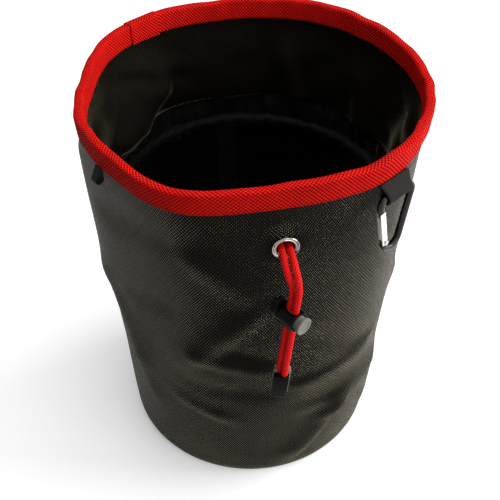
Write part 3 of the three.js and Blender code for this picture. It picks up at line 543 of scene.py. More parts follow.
def even_steps(points, spacing):
    runs = [0.0]
    for a, b in zip(points, points[1:]):
        runs.append(runs[-1] + (b - a).length)
    count = max(round(runs[-1] / spacing), 2)
    made = []
    at = 0
    for i in range(count + 1):
        run = runs[-1] * i / count
        while at < len(points) - 2 and runs[at + 1] < run:
            at += 1
        made.append(between(*points[at : at + 2], run, *runs[at : at + 2]))
    return made


def even_profile(points, spacing):
    steps = even_steps([Vector((r, h, 0)) for r, h in points], spacing)
    return [(p.x, p.y) for p in steps]


def tube(route, radius, sides, cloth=False):
    """A round tube along a route, by extruding a ring from point to point. Its UV is the turn
    round it, from 0 to 1, and the metres along it; on cloth, the metres along it and round it."""
    bm = bmesh.new()
    turn = bm.verts.layers.float.new("turn")
    run = bm.verts.layers.float.new("run")
    steps = [(b - a).normalized() for a, b in zip(route, route[1:])]
    bends = [(a + b).normalized() for a, b in zip(steps, steps[1:])]
    tangents = [steps[0], *bends, steps[-1]]
    ring = bmesh.ops.create_circle(bm, segments=sides, radius=radius)["verts"]
    for vert in ring:
        vert[turn] = (math.atan2(vert.co.y, vert.co.x) / math.tau) % 1.0
    facing = Vector((0, 0, 1)).rotation_difference(tangents[0]).to_matrix().to_4x4()
    bmesh.ops.transform(bm, matrix=Matrix.Translation(route[0]) @ facing, verts=ring)
    edges = list(bm.edges)
    length = 0.0
    for here, there, t_here, t_there in zip(route, route[1:], tangents, tangents[1:]):
        length += (there - here).length
        made = bmesh.ops.extrude_edge_only(bm, edges=edges)["geom"]
        ring = {g for g in made if isinstance(g, bmesh.types.BMVert)}
        edges = [
            g for g in made if isinstance(g, bmesh.types.BMEdge) and ring.issuperset(g.verts)
        ]
        bend = t_here.rotation_difference(t_there).to_matrix().to_4x4()
        step = Matrix.Translation(there) @ bend @ Matrix.Translation(-here)
        bmesh.ops.transform(bm, matrix=step, verts=list(ring))
        for vert in ring:
            vert[run] = length
    close_ends(bm)
    face_out(bm)
    uv = bm.loops.layers.uv.new("cloth" if cloth else "round")
    for face in bm.faces:
        turns = [loop.vert[turn] for loop in face.loops]
        wraps = max(turns) - min(turns) > 0.5
        for loop in face.loops:
            share, along = loop.vert[turn], loop.vert[run]
            if wraps and share < 0.5:
                share += 1
            loop[uv].uv = (along, share * math.tau * radius) if cloth else (share, along)
    return bm


def ease(bm, edges, offset, segments):
    bmesh.ops.bevel(
        bm, geom=edges, offset=offset, offset_type="OFFSET", affect="EDGES", segments=segments,
        profile=0.5, material=-1,
    )


def block(low, high, rounding, to_place):
    """A box between two corners with rounded edges, put in its place."""
    bm = bmesh.new()
    bmesh.ops.create_cube(bm, size=1.0)
    low, high = Vector(low), Vector(high)
    bmesh.ops.scale(bm, vec=high - low, verts=bm.verts)
    bmesh.ops.translate(bm, vec=(low + high) / 2, verts=bm.verts)
    ease(bm, bm.edges[:], rounding, BLOCK_SEGMENTS)
    return put(bm, to_place)


def add_to(bm, other):
    """Puts one bmesh's shapes into another."""
    spare = bpy.data.meshes.new("spare")
    other.to_mesh(spare)
    other.free()
    bm.from_mesh(spare)
    bpy.data.meshes.remove(spare)


def in_scene(name, data):
    made = bpy.data.objects.new(name, data)
    bpy.context.scene.collection.objects.link(made)
    return made


def finished(
    bm, name, material, stands_for=None, body="bag", sharp=40, thickness=None, offset=-1.0
):
    """Makes a piece of a bmesh: smooth but for its sharp edges, painted, riding on its body. A
    sheet is given its thickness, with offset -1 inwards from its face and 0 to both sides."""
    for face in bm.faces:
        face.smooth = True
    for edge in bm.edges:
        if len(edge.link_faces) == 2:
            edge.smooth = edge.calc_face_angle() < math.radians(sharp)
    mesh = bpy.data.meshes.new(name)
    bm.to_mesh(mesh)
    bm.free()
    mesh.materials.append(material)
    piece = in_scene(name, mesh)
    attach(piece, body)
    if stands_for:
        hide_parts(stands_for)
    if thickness:
        wall = piece.modifiers.new("thickness", "SOLIDIFY")
        wall.thickness = thickness
        wall.offset = offset
        wall.use_even_offset = True
    return piece


# Material tools


def fill(tree, inputs, values):
    """Links or sets each named input."""
    for key, value in values.items():
        if isinstance(value, bpy.types.NodeSocket):
            tree.links.new(value, inputs[key])
        else:
            inputs[key].default_value = value


def add_node(tree, kind, values=None, **settings):
    made = tree.nodes.new(kind)
    for key, value in settings.items():
        setattr(made, key, value)
    fill(tree, made.inputs, values or {})
    return made


def maths(tree, operation, first, second=0.0, third=0.0):
    values = {0: first, 1: second, 2: third}
    return add_node(tree, "ShaderNodeMath", values, operation=operation).outputs[0]


def new_group(name, values, build):
    """A node group that takes a Vector and named values. build takes the group and its inputs by
    name, and gives its outputs by name."""
    group = bpy.data.node_groups.new(name, "ShaderNodeTree")
    add_socket = group.interface.new_socket
    add_socket("Vector", in_out="INPUT", socket_type="NodeSocketVector")
    for label, value in values.items():
        add_socket(label, in_out="INPUT", socket_type="NodeSocketFloat").default_value = value
    made = build(group, group.nodes.new("NodeGroupInput").outputs)
    for label in made:
        add_socket(label, in_out="OUTPUT", socket_type="NodeSocketFloat")
    fill(group, group.nodes.new("NodeGroupOutput").inputs, made)
    return group


def flat_place(group, given):
    place = add_node(group, "ShaderNodeSeparateXYZ", {"Vector": given["Vector"]}).outputs
    return place["X"], place["Y"]


def wave(tree, value):
    """A cosine of a value, from -1 to 1, that repeats once per unit."""
    return maths(tree, "COSINE", maths(tree, "MULTIPLY", value, math.tau))


def crossing_waves(tree, across, along):
    """Two sets of ribs that cross, one leaning to each side."""
    return [wave(tree, maths(tree, way, across, along)) for way in ("ADD", "SUBTRACT")]


def diamond_weave(group, given):
    """Ribs that cross at two slants. Across and Along are their repeats, in metres."""
    x, y = flat_place(group, given)
    across = maths(group, "DIVIDE", x, given["Across"])
    along = maths(group, "DIVIDE", y, given["Along"])
    both = maths(group, "ADD", *crossing_waves(group, across, along))
    grain = {"Vector": given["Vector"], "Scale": 900.0, "Detail": 2.0}
    yarn = add_node(group, "ShaderNodeTexNoise", grain).outputs[0]
    return {"Height": maths(group, "MULTIPLY_ADD", both, 0.25, 0.5), "Yarn": yarn}


def webbing_ribs(group, given):
    """Upright ribs of a webbing, crossed by finer picks. Spacing and Picks are in metres."""
    x, y = flat_place(group, given)
    rib = wave(group, maths(group, "DIVIDE", x, given["Spacing"]))
    pick = wave(group, maths(group, "DIVIDE", y, given["Picks"]))
    ribbed = maths(group, "MULTIPLY_ADD", rib, 0.38, 0.5)
    return {"Height": maths(group, "MULTIPLY_ADD", pick, 0.12, ribbed)}


def round_braid(group, given):
    """Yarns that cross over and under. The UV is the turn and the metres along."""
    x, y = flat_place(group, given)
    turn = maths(group, "MULTIPLY", x, given["Yarns"])
    along = maths(group, "DIVIDE", y, given["Pitch"])
    over = maths(group, "MAXIMUM", *crossing_waves(group, turn, along))
    return {"Height": maths(group, "MULTIPLY_ADD", over, 0.5, 0.5)}


def mottle(group, given):
    """Slow and fine variation of a finish, from 0 to 1."""
    grain = {key: given[key] for key in ("Vector", "Scale", "Detail")}
    return {"Amount": add_node(group, "ShaderNodeTexNoise", grain).outputs[0]}


def stitch_row(group, given):
    """A row of stitches along X at a height on Y: 1 on the thread, 0 beside it."""
    x, y = flat_place(group, given)
    off = maths(group, "ABSOLUTE", maths(group, "SUBTRACT", y, given["At"]))
    near = maths(group, "SUBTRACT", 1.0, maths(group, "DIVIDE", off, given["Half Width"]))
    near = maths(group, "MAXIMUM", near, 0.0)
    share = maths(group, "FRACT", maths(group, "DIVIDE", x, given["Repeat"]))
    from_middle = maths(group, "ABSOLUTE", maths(group, "SUBTRACT", share, 0.5))
    in_stitch = maths(group, "LESS_THAN", from_middle, 0.38)
    return {"Thread": maths(group, "MULTIPLY", near, in_stitch)}


CLOTH_WEAVE = new_group("cloth_weave", {"Across": 0.0016, "Along": 0.0024}, diamond_weave)
RIBS = new_group("ribs", {"Spacing": 0.001, "Picks": 0.0008}, webbing_ribs)
BRAID = new_group("braid", {"Yarns": 8.0, "Pitch": 0.0019}, round_braid)
MOTTLE = new_group("mottle", {"Scale": 40.0, "Detail": 5.0}, mottle)
STITCHES = {"At": 0.0, "Repeat": 0.003, "Half Width": 0.00035}
STITCH_ROW = new_group("stitch_row", STITCHES, stitch_row)


def placed(tree, group, **values):
    return add_node(tree, "ShaderNodeGroup", values, node_tree=group).outputs


def mottled(tree, place, scale, detail=5.0):
    return placed(tree, MOTTLE, Vector=place, Scale=scale, Detail=detail)["Amount"]


def new_finish(name, uv=None):
    """A new material. Gives it, its tree, its shader's inputs and the coordinates it follows."""
    material = bpy.data.materials.new(name)
    material.use_nodes = True
    tree = material.node_tree
    shader = tree.nodes["Principled BSDF"].inputs
    if uv:
        place = add_node(tree, "ShaderNodeUVMap", uv_map=uv).outputs["UV"]
    else:
        place = add_node(tree, "ShaderNodeTexCoord").outputs["Object"]
    return material, tree, shader, place


def shaded(tree, share, low, high):
    """A colour between two, by a share that changes over the surface."""
    values = {"Factor": share, "A": (*low, 1), "B": (*high, 1)}
    return add_node(tree, "ShaderNodeMix", values, data_type="RGBA").outputs["Result"]


def ranged(tree, share, low, high):
    values = {"Value": share, "To Min": low, "To Max": high}
    return add_node(tree, "ShaderNodeMapRange", values).outputs["Result"]


def relief(tree, height, depth):
    values = {"Height": height, "Distance": depth, "Strength": 1.0}
    return add_node(tree, "ShaderNodeBump", values).outputs["Normal"]


def coated_weave(name, sheen, depth):
    material, tree, shader, place = new_finish(name, uv="cloth")
    weave = placed(tree, CLOTH_WEAVE, Vector=place)
    # Painted light: the colour is lighter on the weave's crests as a painted highlight and darker
    # in its hollows as painted shade.
    painted_crest_light = maths(tree, "POWER", weave["Height"], 4.0)
    height = maths(tree, "MULTIPLY_ADD", weave["Yarn"], 0.04, weave["Height"])
    fill(tree, shader, {
        "Base Color": shaded(tree, painted_crest_light, (0.0004, 0.0004, 0.0003), (0.021, 0.0186, 0.0128)),
        "Roughness": ranged(tree, mottled(tree, place, 22.0), 0.26, 0.36),
        "Normal": relief(tree, height, depth),
        "Specular IOR Level": 0.02,
        "Specular Tint": (1.0, 0.90, 0.66, 1),
        "Sheen Weight": sheen,
        "Sheen Roughness": 0.12,
        "Sheen Tint": (1.0, 0.89, 0.62, 1),
    })
    return material


def thin_lining():
    material, tree, shader, place = new_finish("thin_lining", uv="cloth")
    weave = placed(tree, CLOTH_WEAVE, Vector=place, Across=0.0006, Along=0.0006)
    cloud = mottled(tree, place, 60.0)
    height = maths(tree, "MULTIPLY_ADD", weave["Height"], 0.15, cloud)
    fill(tree, shader, {
        "Base Color": shaded(tree, cloud, (0.003, 0.003, 0.0028), (0.008, 0.0078, 0.007)),
        "Roughness": ranged(tree, cloud, 0.34, 0.5),
        "Normal": relief(tree, height, 0.0004),
        "Specular IOR Level": 0.02,
        "Sheen Weight": 0.10,
        "Sheen Roughness": 0.2,
    })
    return material


def woven(name, uv, pattern, repeats, by_rib, low, high, rough, shine, depth, cloud=None,
          stitches_at=None):
    """A woven finish: the pattern's ribs stand out of it, and its colour is lighter on their crests
    and darker in their hollows as painted shade. A cloud, given as its scale and share, tints it
    too, and a row of stitches is sewn where one is asked for."""
    material, tree, shader, place = new_finish(name, uv)
    rib = placed(tree, pattern, Vector=place, **repeats)["Height"]
    # Painted shade: the ribs darken the colour in their hollows and lighten it on their crests.
    tint = maths(tree, "MULTIPLY", rib, by_rib)
    if cloud:
        scale, by_cloud = cloud
        tint = maths(tree, "MULTIPLY_ADD", mottled(tree, place, scale), by_cloud, tint)
    height = rib
    if stitches_at:
        thread = placed(tree, STITCH_ROW, Vector=place, At=stitches_at)["Thread"]
        height = maths(tree, "MULTIPLY_ADD", thread, 0.5, rib)
    fill(tree, shader, {
        "Base Color": shaded(tree, tint, low, high),
        "Roughness": rough,
        "Normal": relief(tree, height, depth),
        "Specular IOR Level": shine,
    })
    return material


def hard(name, low, high, rough_low, rough_high, cloud, grain, extra):
    """Metal or moulded plastic: a cloud tints it, and a grain stands out of it. Both are given as
    scale and detail, the grain with its depth too."""
    material, tree, shader, place = new_finish(name)
    tint = mottled(tree, place, *cloud)
    scale, detail, depth = grain
    fill(tree, shader, {
        "Base Color": shaded(tree, tint, low, high),
        "Roughness": ranged(tree, tint, rough_low, rough_high),
        "Normal": relief(tree, mottled(tree, place, scale, detail), depth),
        **extra,
    })
    return material


def metal(*tones):
    return hard(*tones, (900.0, 3.0), (900.0, 3.0, 0.00003), {"Metallic": 1.0})


def moulded(*tones):
    return hard(*tones, (160.0, 5.0), (1400.0, 3.0, 0.00004), {"Specular IOR Level": 0.04})


COATED_WEAVE = coated_weave("coated_weave", 0.43, 0.0007)
BACK_OF_WEAVE = coated_weave("back_of_coated_weave", 0.36, 0.0003)
THIN_LINING = thin_lining()
BLACK_TAPE = woven(
    "black_tape", None, RIBS, {"Spacing": 0.0009, "Picks": 0.0007}, 1.0,
    (0.006, 0.006, 0.006), (0.020, 0.020, 0.019), 0.75, 0.08, 0.0002,
)
RED_WEBBING = woven(
    "red_webbing", "cloth", CLOTH_WEAVE, {"Across": 0.0021, "Along": 0.0021}, 0.9,
    (0.05, 0.001, 0.001), (0.90, 0.011, 0.007), 0.7, 0.03, 0.0011, (120.0, 0.25), STITCHES_AT,
)
RED_CORD = woven(
    "red_cord", "round", BRAID, {}, 0.8,
    (0.38, 0.002, 0.002), (0.92, 0.008, 0.007), 0.65, 0.12, 0.00045, (300.0, 0.3),
)
LABEL_WEBBING = woven(
    "label_webbing", "cloth", RIBS, {"Spacing": 0.0008, "Picks": 0.0011}, 0.6,
    (0.006, 0.0052, 0.0047), (0.024, 0.021, 0.019), 0.7, 0.06, 0.00025, (200.0, 0.4),
)
NICKEL = metal("nickel", (0.22, 0.20, 0.175), (0.40, 0.37, 0.33), 0.10, 0.18)
SILVER = metal("silver", (0.80, 0.78, 0.73), (0.92, 0.90, 0.85), 0.28, 0.40)
SPRING_STEEL = metal("spring_steel", (0.42, 0.42, 0.41), (0.52, 0.52, 0.51), 0.24, 0.36)
BLACK_ANODISED = metal(
    "black_anodised", (0.018, 0.016, 0.016), (0.034, 0.031, 0.030), 0.26, 0.38
)
BLACK_PLASTIC = moulded(
    "black_plastic", (0.002, 0.002, 0.0018), (0.004, 0.004, 0.0036), 0.22, 0.34
)
# Light grey plastic for the lock's button. On the cord end's back half it is a painted highlight.
GREY_PLASTIC_AND_EDGE_HIGHLIGHT = moulded("grey_plastic", (0.13, 0.127, 0.105), (0.20, 0.195, 0.165), 0.34, 0.46)


# Camera, floor and light


def aim_camera():
    camera = bpy.data.cameras.new("camera")
    camera.lens = CAMERA_LENS
    camera.shift_y = CAMERA_SHIFT_Y
    camera.clip_start = 0.01
    holder = in_scene("camera", camera)
    holder.location = CAMERA_PLACE
    holder.rotation_euler = (math.radians(90 - CAMERA_PITCH), 0, math.radians(CAMERA_TURN))
    bpy.context.scene.camera = holder


def seen_straight(tree):
    """1 for rays from the camera, mirror reflections and clear glass, 0 for light that bounces."""
    path = add_node(tree, "ShaderNodeLightPath").outputs
    seen = maths(tree, "MAXIMUM", path["Is Camera Ray"], path["Is Glossy Ray"])
    return maths(tree, "MAXIMUM", seen, path["Is Transmission Ray"])


def lay_floor():
    bm = bmesh.new()
    bmesh.ops.create_grid(bm, x_segments=1, y_segments=1, size=FLOOR_HALF)
    mesh = bpy.data.meshes.new("floor")
    bm.to_mesh(mesh)
    bm.free()
    in_scene("floor", mesh)
    material = bpy.data.materials.new("pale_floor")
    material.use_nodes = True
    tree = material.node_tree
    shader = tree.nodes["Principled BSDF"]
    seen = seen_straight(tree)
    fill(tree, shader.inputs, {
        "Base Color": shaded(tree, seen, (FLOOR_BOUNCE,) * 3, (FLOOR_PALE,) * 3),
        "Roughness": 0.9,
    })
    strength = maths(tree, "MULTIPLY", seen, FLOOR_GLOW)
    glow = add_node(tree, "ShaderNodeEmission", {"Color": (1, 1, 1, 1), "Strength": strength})
    both = {0: shader.outputs["BSDF"], 1: glow.outputs["Emission"]}
    surface = add_node(tree, "ShaderNodeAddShader", both).outputs["Shader"]
    tree.links.new(surface, tree.nodes["Material Output"].inputs["Surface"])
    mesh.materials.append(material)


def light_world():
    world = bpy.data.worlds.new("studio")
    world.use_nodes = True
    tree = world.node_tree
    strength = ranged(tree, seen_straight(tree), WORLD_LIGHT, 1.0)
    background = tree.nodes["Background"].inputs
    fill(tree, background, {"Strength": strength, "Color": (1, 1, 1, 1)})
    bpy.context.scene.world = world


def hang_softbox(name, place, aim, size, watts):
    light = bpy.data.lights.new(name, "AREA")
    light.shape = "RECTANGLE"
    light.size, light.size_y = size
    light.energy = watts
    holder = in_scene(name, light)
    holder.location = place
    holder.rotation_euler = (Vector(aim) - Vector(place)).to_track_quat("-Z", "Y").to_euler()


aim_camera()
lay_floor()
light_world()
hang_softbox("right_softbox", (1.55, 0.05, 0.70), (0, 0, 0.12), (1.30, 0.90), 40)
hang_softbox("front_softbox", (0.60, -0.95, 0.55), (0, 0, 0.15), (1.2, 0.8), 10)
hang_softbox("top_softbox", (0.05, 0.15, 1.35), (0, 0, 0.15), (1.1, 1.1), 14)


# Drawcord


def strand_points(side, bend):
    """Places along a strand; side is 1 for the right one and -1 for the left."""
    inside = [(side * x, y, z) for x, y, z in STRAND_INSIDE]
    x, y, top = bend[-1]
    hanging = [(x + HANG_LEAN * (z - top), y, z) for z in HANG_HEIGHTS]
    return [EYELET_CENTRE + Vector(p) for p in (*inside, *bend, *hanging)]


def ring_route(steps):
    half = math.degrees(math.asin((STRAND_INSIDE[0][0] + RING_GAP) / HEM_RADIUS))
    angles = steps_between(FRONT + half, FRONT + 360 - half, steps)
    return [round_place(angle, HEM_RADIUS, HEM_HEIGHT) for angle in angles]


def cord_piece(route, name, node):
    bm = tube(route, CORD_DIAMETER / 2, CORD_SIDES)
    return finished(bm, name, RED_CORD, node)


right_points = strand_points(1, RIGHT_BEND)
left_points = strand_points(-1, LEFT_BEND)
right_route = smooth_route(right_points, CORD_STEP)
left_route = smooth_route(left_points, CORD_STEP)
drawcord_right = cord_piece(right_route, "drawcord_right_strand", "drawcord_right")
drawcord_left = cord_piece(left_route, "drawcord_left_strand", "drawcord_left")
cord_piece(ring_route(RING_STEPS), "drawcord_hem_ring", "drawcord_ring")


def pair_frame(drop):
    """The frame of the hanging pair of strands at a height: X across, Y back, Z up along them."""
    straight_from = -len(HANG_HEIGHTS) - 1
    right_top, left_top = right_points[straight_from], left_points[straight_from]
    top = (right_top + left_top) / 2
    foot = (right_points[-1] + left_points[-1]) / 2
    up = (top - foot).normalized()
    across = right_top - left_top
    across = (across - up * across.dot(up)).normalized()
    back = up.cross(across)
    share = (EYELET_HEIGHT - drop - foot.z) / (top.z - foot.z)
    turn = Matrix((across, back, up)).transposed().to_4x4()
    return Matrix.Translation(foot.lerp(top, share)) @ turn


# Cord lock, turned about the line across the strands

ALONG_X = Matrix.Rotation(math.radians(90), 4, "Y")


def lock_body():
    """A barrel with a cup at its closed end and a dished mouth where the cords go in."""
    profile = rounded_profile(
        [
            (0.0, -LOCK_END + 0.0022), (0.0034, -LOCK_END + 0.0020), (0.0046, -LOCK_END),
            (0.0057, -LOCK_END), (0.0054, -0.0094), (0.0047, -0.0078), (0.0049, -0.0062),
            (LOCK_RADIUS, -0.0045), (LOCK_RADIUS, LOCK_FRONT), (LOCK_CAVITY + 0.0003, LOCK_FRONT),
            (LOCK_CAVITY + 0.0002, LOCK_FLOOR), (0.0, LOCK_FLOOR),
        ],
        LOCK_ROUNDING,
    )
    bm = turned(even_profile(profile, LOCK_SPACING), LOCK_STEPS, ALONG_X)
    for vert in bm.verts:
        for side in (1, -1):
            reach = math.hypot(vert.co.x / DISH_STRETCH, vert.co.y) / DISH_RADIUS
            if vert.co.z * side > DISH_FROM and reach < 1:
                vert.co.z -= side * DISH_DEPTH * (1 - reach * reach)
    return put(bm, pair_frame(LOCK_DROP))


def lock_button():
    profile = rounded_profile(
        [
            (0.0, STEM_FOOT), (STEM_RADIUS, STEM_FOOT), (STEM_RADIUS, BUTTON_FOOT),
            (BUTTON_RADIUS, BUTTON_FOOT), (BUTTON_RADIUS, BUTTON_FACE), (0.0036, BUTTON_FACE),
            (0.0032, BUTTON_HOLLOW), (0.0, BUTTON_HOLLOW),
        ],
        BUTTON_ROUNDING,
    )
    return turned(profile, BUTTON_STEPS, pair_frame(LOCK_DROP) @ ALONG_X)


lock_body_piece = finished(
    lock_body(), "cord_lock_barrel", BLACK_PLASTIC, "cord_lock_body", "cord_lock"
)
lock_button_piece = finished(
    lock_button(), "cord_lock_push_button", GREY_PLASTIC_AND_EDGE_HIGHLIGHT, "cord_lock_button",
    "lock_button",
)


# Cord end


def cord_end_half(low_y, high_y, overhang, lip, rounding):
    """A half of the cord end, which may stand out at the right and the foot. Where the light grey
    back half stands out there, it is a painted highlight along those edges.
    """
    half = CORD_END_WIDTH / 2
    low = (-half, low_y, -CORD_END_LENGTH - overhang)
    turn = Matrix.Rotation(math.radians(CORD_END_TURN), 4, "Z")
    return block(low, (half + overhang, high_y, lip), rounding, pair_frame(CORD_END_DROP) @ turn)


cord_end_front_piece = finished(
    cord_end_half(-CORD_END_DEPTH / 2, -CLEARANCE / 2, 0.0, 0.0, COVER_ROUNDING),
    "cord_end_cover", BLACK_PLASTIC, "cord_end_front",
)
# Its light grey, standing out at the right and foot, is a painted highlight on the cord end's
# edges.
cord_end_back_piece = finished(
    cord_end_half(
        CLEARANCE / 2, CORD_END_DEPTH / 2, CORD_END_OVERHANG, CORD_END_LIP, TRAY_ROUNDING
    ),
    "cord_end_tray", GREY_PLASTIC_AND_EDGE_HIGHLIGHT, "cord_end_back",
)


# Bag


def wall_place(angle, z, inside=0.0):
    return round_place(angle, wall_face(angle, z) - inside, z)


def pierce(bm):
    """Opens the hole for the eyelet: finer cloth round it, its middle taken out, the rest drawn
    back to a round edge."""

    def near(vert, reach):
        return vert.co.y < 0 and (vert.co - EYELET_CENTRE).length < reach

    edges = [e for e in bm.edges if all(near(v, HOLE_FINE) for v in e.verts)]
    bmesh.ops.subdivide_edges(bm, edges=edges, cuts=HOLE_CUTS, use_grid_fill=True)
    gone = [f for f in bm.faces if all(near(v, HOLE_CUT) for v in f.verts)]
    bmesh.ops.delete(bm, geom=gone, context="FACES")
    for vert in bm.verts:
        if near(vert, HOLE_REACH):
            away = Vector((vert.co.x, 0, vert.co.z - EYELET_HEIGHT))
            reach = away.length
            share = share_between(reach, HOLE_CORE, HOLE_REACH)
            moved = away * (mix(HOLE_EDGE, HOLE_REACH, share) / reach)
            angle = math.degrees(math.asin(moved.x / -EYELET_CENTRE.y)) + FRONT
            vert.co = wall_place(angle, EYELET_HEIGHT + moved.z)


def bag_wall():
    bm = sheet_round(steps_between(0.0, WALL_TOP, WALL_ROWS), WALL_STEPS, wall_place)
    pierce(bm)
    return bm


def bag_base():
    radius = BASE_RADIUS - WALL_THICKNESS - CLEARANCE
    profile = rounded_profile(
        [
            (0, 0.0003), (radius - 0.004, 0), (radius - 0.0022, 0),
            (radius - 0.0006, BASE_THICKNESS), (0.03, BASE_THICKNESS), (0, BASE_THICKNESS),
        ],
        BASE_ROUNDING,
    )
    bm = turned(profile, BASE_STEPS, Matrix.Identity(4))
    lay_flat(bm, lambda co: co.xy)
    return bm


def base_seam_tape():
    foot = BASE_THICKNESS + CLEARANCE
    return sheet_round(
        steps_between(foot, foot + BASE_TAPE_HEIGHT, BASE_TAPE_ROWS), WALL_STEPS,
        lambda angle, z: wall_place(angle, z, TAPE_FACE), flat_band,
    )


def back_seam_tape():
    """A strip inside, over the wall's closing seam."""
    bm = bmesh.new()
    columns, rows = BACK_TAPE_GRID
    bmesh.ops.create_grid(bm, x_segments=columns, y_segments=rows, size=0.5)
    foot = BASE_THICKNESS + BASE_TAPE_HEIGHT + 2 * CLEARANCE
    for vert in bm.verts:
        z = mix(foot, BACK_TAPE_TOP, vert.co.y + 0.5)
        angle = BACK - math.degrees(vert.co.x * BACK_TAPE_WIDTH / BASE_RADIUS)
        vert.co = wall_place(angle, z, TAPE_FACE + TAPE_THICKNESS / 2)
    face_out(bm)
    return bm


finished(
    bag_wall(), "bag_wall", COATED_WEAVE, "wall_panel", sharp=CLOTH_SHARP,
    thickness=WALL_THICKNESS,
)
finished(bag_base(), "bag_base", COATED_WEAVE, "base_panel")
finished(
    base_seam_tape(), "base_seam_binding", BLACK_TAPE, "base_seam_tape",
    thickness=TAPE_THICKNESS,
)
finished(
    back_seam_tape(), "back_seam_binding", BLACK_TAPE, "back_seam_tape",
    thickness=TAPE_THICKNESS, offset=0.0,
)


# Rim binding


def binding_section(grow):
    """The folded webbing's section as (out from the wall's face, height) points, grown a little."""
    outer = CLEARANCE + BINDING_THICKNESS + grow
    inner = BINDING_INNER - grow
    inside = inner + BINDING_THICKNESS
    top = BAG_HEIGHT + grow * 0.5
    under = top - BINDING_THICKNESS
    hem = BINDING_FOOT + BINDING_EASE
    corners = [
        (CLEARANCE, hem), (outer, BINDING_FOOT), (outer, top), (inner, top), (inner, BINDING_FOOT),
        (inside, hem), (inside, under), (CLEARANCE, under), (CLEARANCE, hem),
    ]
    return even_profile(rounded_profile(corners, BINDING_ROUNDING), BINDING_SPACING)


def binding_place(angle, out, z):
    upper = smooth_share(z, BINDING_FOOT - 0.004, BAG_HEIGHT)
    lift = slack(angle, 0.0, *RIM_LIFT) * upper
    lump = slack(angle, 0.3, *RIM_LUMPS) * mix(0.4, 1.0, upper)
    return round_place(angle, wall_radius(angle, z) + out + lump, z + lift)


def binding_band(grow, first, sweep, steps):
    """Webbing folded over the rim, from one angle on."""
    bm = bmesh.new()
    out_layer = bm.verts.layers.float.new("out")
    run_layer = bm.verts.layers.float.new("run")
    section = binding_section(grow)
    chain = []
    run = 0.0
    for here, there in zip(section, section[1:]):
        vert = bm.verts.new(round_place(first, 1.0, here[1]))
        vert[out_layer] = here[0]
        vert[run_layer] = run
        run += math.dist(here, there)
        chain.append(vert)
    spin_chain(bm, chain, steps, sweep, closed=True)
    if sweep < 360:
        close_ends(bm)
    face_out(bm)
    lay_round(bm, 0, lambda angle, vert: flat_band(angle, vert[run_layer] + BINDING_FOOT))
    for vert in bm.verts:
        vert.co = binding_place(angle_of(vert.co), vert[out_layer], vert.co.z)
    return bm


finished(
    binding_band(0.0, BACK, 360, BINDING_STEPS), "rim_webbing", RED_WEBBING,
    "rim_binding", sharp=70,
)
finished(
    binding_band(OVERLAP_STEP, OVERLAP_FROM, OVERLAP_TO - OVERLAP_FROM, OVERLAP_STEPS),
    "rim_webbing_overlap", RED_WEBBING, sharp=50,
)


# Collar


def inner_facing():
    heights = steps_between(FACING_FOOT, WALL_TOP, FACING_ROWS)
    return sheet_round(
        heights, WALL_STEPS, lambda angle, z: round_place(angle, collar_face(angle, z), z)
    )


def gathered_lining():
    foot = HEM_HEIGHT + CLEARANCE

    def place(angle, z):
        rise = share_between(z, foot, LINING_TOP)
        depth = GATHER_DEPTH * math.sin(math.pi * (1 - rise) * 0.62) * off_pocket(angle)
        lean = angle + LINING_LEAN * rise * noise_round(angle, 4.0, 3.0)
        behind = LINING_BEHIND * rise + gather(lean) * depth
        return round_place(angle, collar_face(angle, z) + behind, z)

    return sheet_round(steps_between(foot, LINING_TOP, LINING_ROWS), GATHER_STEPS, place)


def hem_sleeve():
    """The folded hem round the drawcord, ruffled, and open at the front for the two strands."""
    bm = tube(ring_route(GATHER_STEPS), HEM_OUTER, HEM_SIDES, cloth=True)
    caps = [f for f in bm.faces if len(f.verts) > 4]
    bmesh.ops.delete(bm, geom=caps, context="FACES_ONLY")
    for vert in bm.verts:
        angle = angle_of(vert.co)
        middle = round_place(angle, HEM_RADIUS, HEM_HEIGHT)
        off = vert.co - middle
        lean = HEM_LEAN * off.z / HEM_OUTER
        ruffle = 1 + HEM_RUFFLE * gather(angle + lean) + slack(angle, off.z, *HEM_SLACK)
        vert.co = middle + off * ruffle
    return bm


finished(
    inner_facing(), "inner_facing", BACK_OF_WEAVE, "inner_collar",
    sharp=CLOTH_SHARP, thickness=COLLAR_THICKNESS,
)
lining_piece = finished(
    gathered_lining(), "gathered_lining", THIN_LINING, "inner_collar", sharp=CLOTH_SHARP,
    thickness=LINING_THICKNESS, offset=0.0,
)
hem_piece = finished(
    hem_sleeve(), "collar_hem_sleeve", THIN_LINING, "collar_hem", sharp=CLOTH_SHARP,
    thickness=HEM_THICKNESS,
)


# Eyelet, in a frame with Z out of the wall and its centre on the wall's face

EYELET_FRAME = Matrix.Translation(EYELET_CENTRE) @ Matrix.Rotation(
    math.radians(90) + WALL_LEAN, 4, "X"
)


def eyelet_ring():
    """A bead at its edge, a dish inside that, and a roll into the bore."""
    seat, edge, bore, lip = CLEARANCE, EYELET_FLANGE, EYELET_BORE, EYELET_LIP
    face = rounded_profile(
        (
            (EYELET_TUBE, seat), (edge, seat), (edge, seat + 0.0007),
            (edge - 0.0003, seat + 0.0012), (edge - 0.0007, seat + 0.0011),
            (edge - 0.0013, seat + 0.0003), (bore + 0.0007, seat + 0.0004),
            (bore + 0.0004, seat + 0.0007), (bore, seat + 0.0003), (bore, lip),
        ),
        EYELET_ROUNDING,
    )
    rolled = EYELET_TUBE + 0.0009
    back = [
        (rolled, lip), (rolled, lip + 0.0005), (EYELET_TUBE, lip + 0.0006), (EYELET_TUBE, seat),
    ]
    return turned(face + back, EYELET_STEPS, EYELET_FRAME)


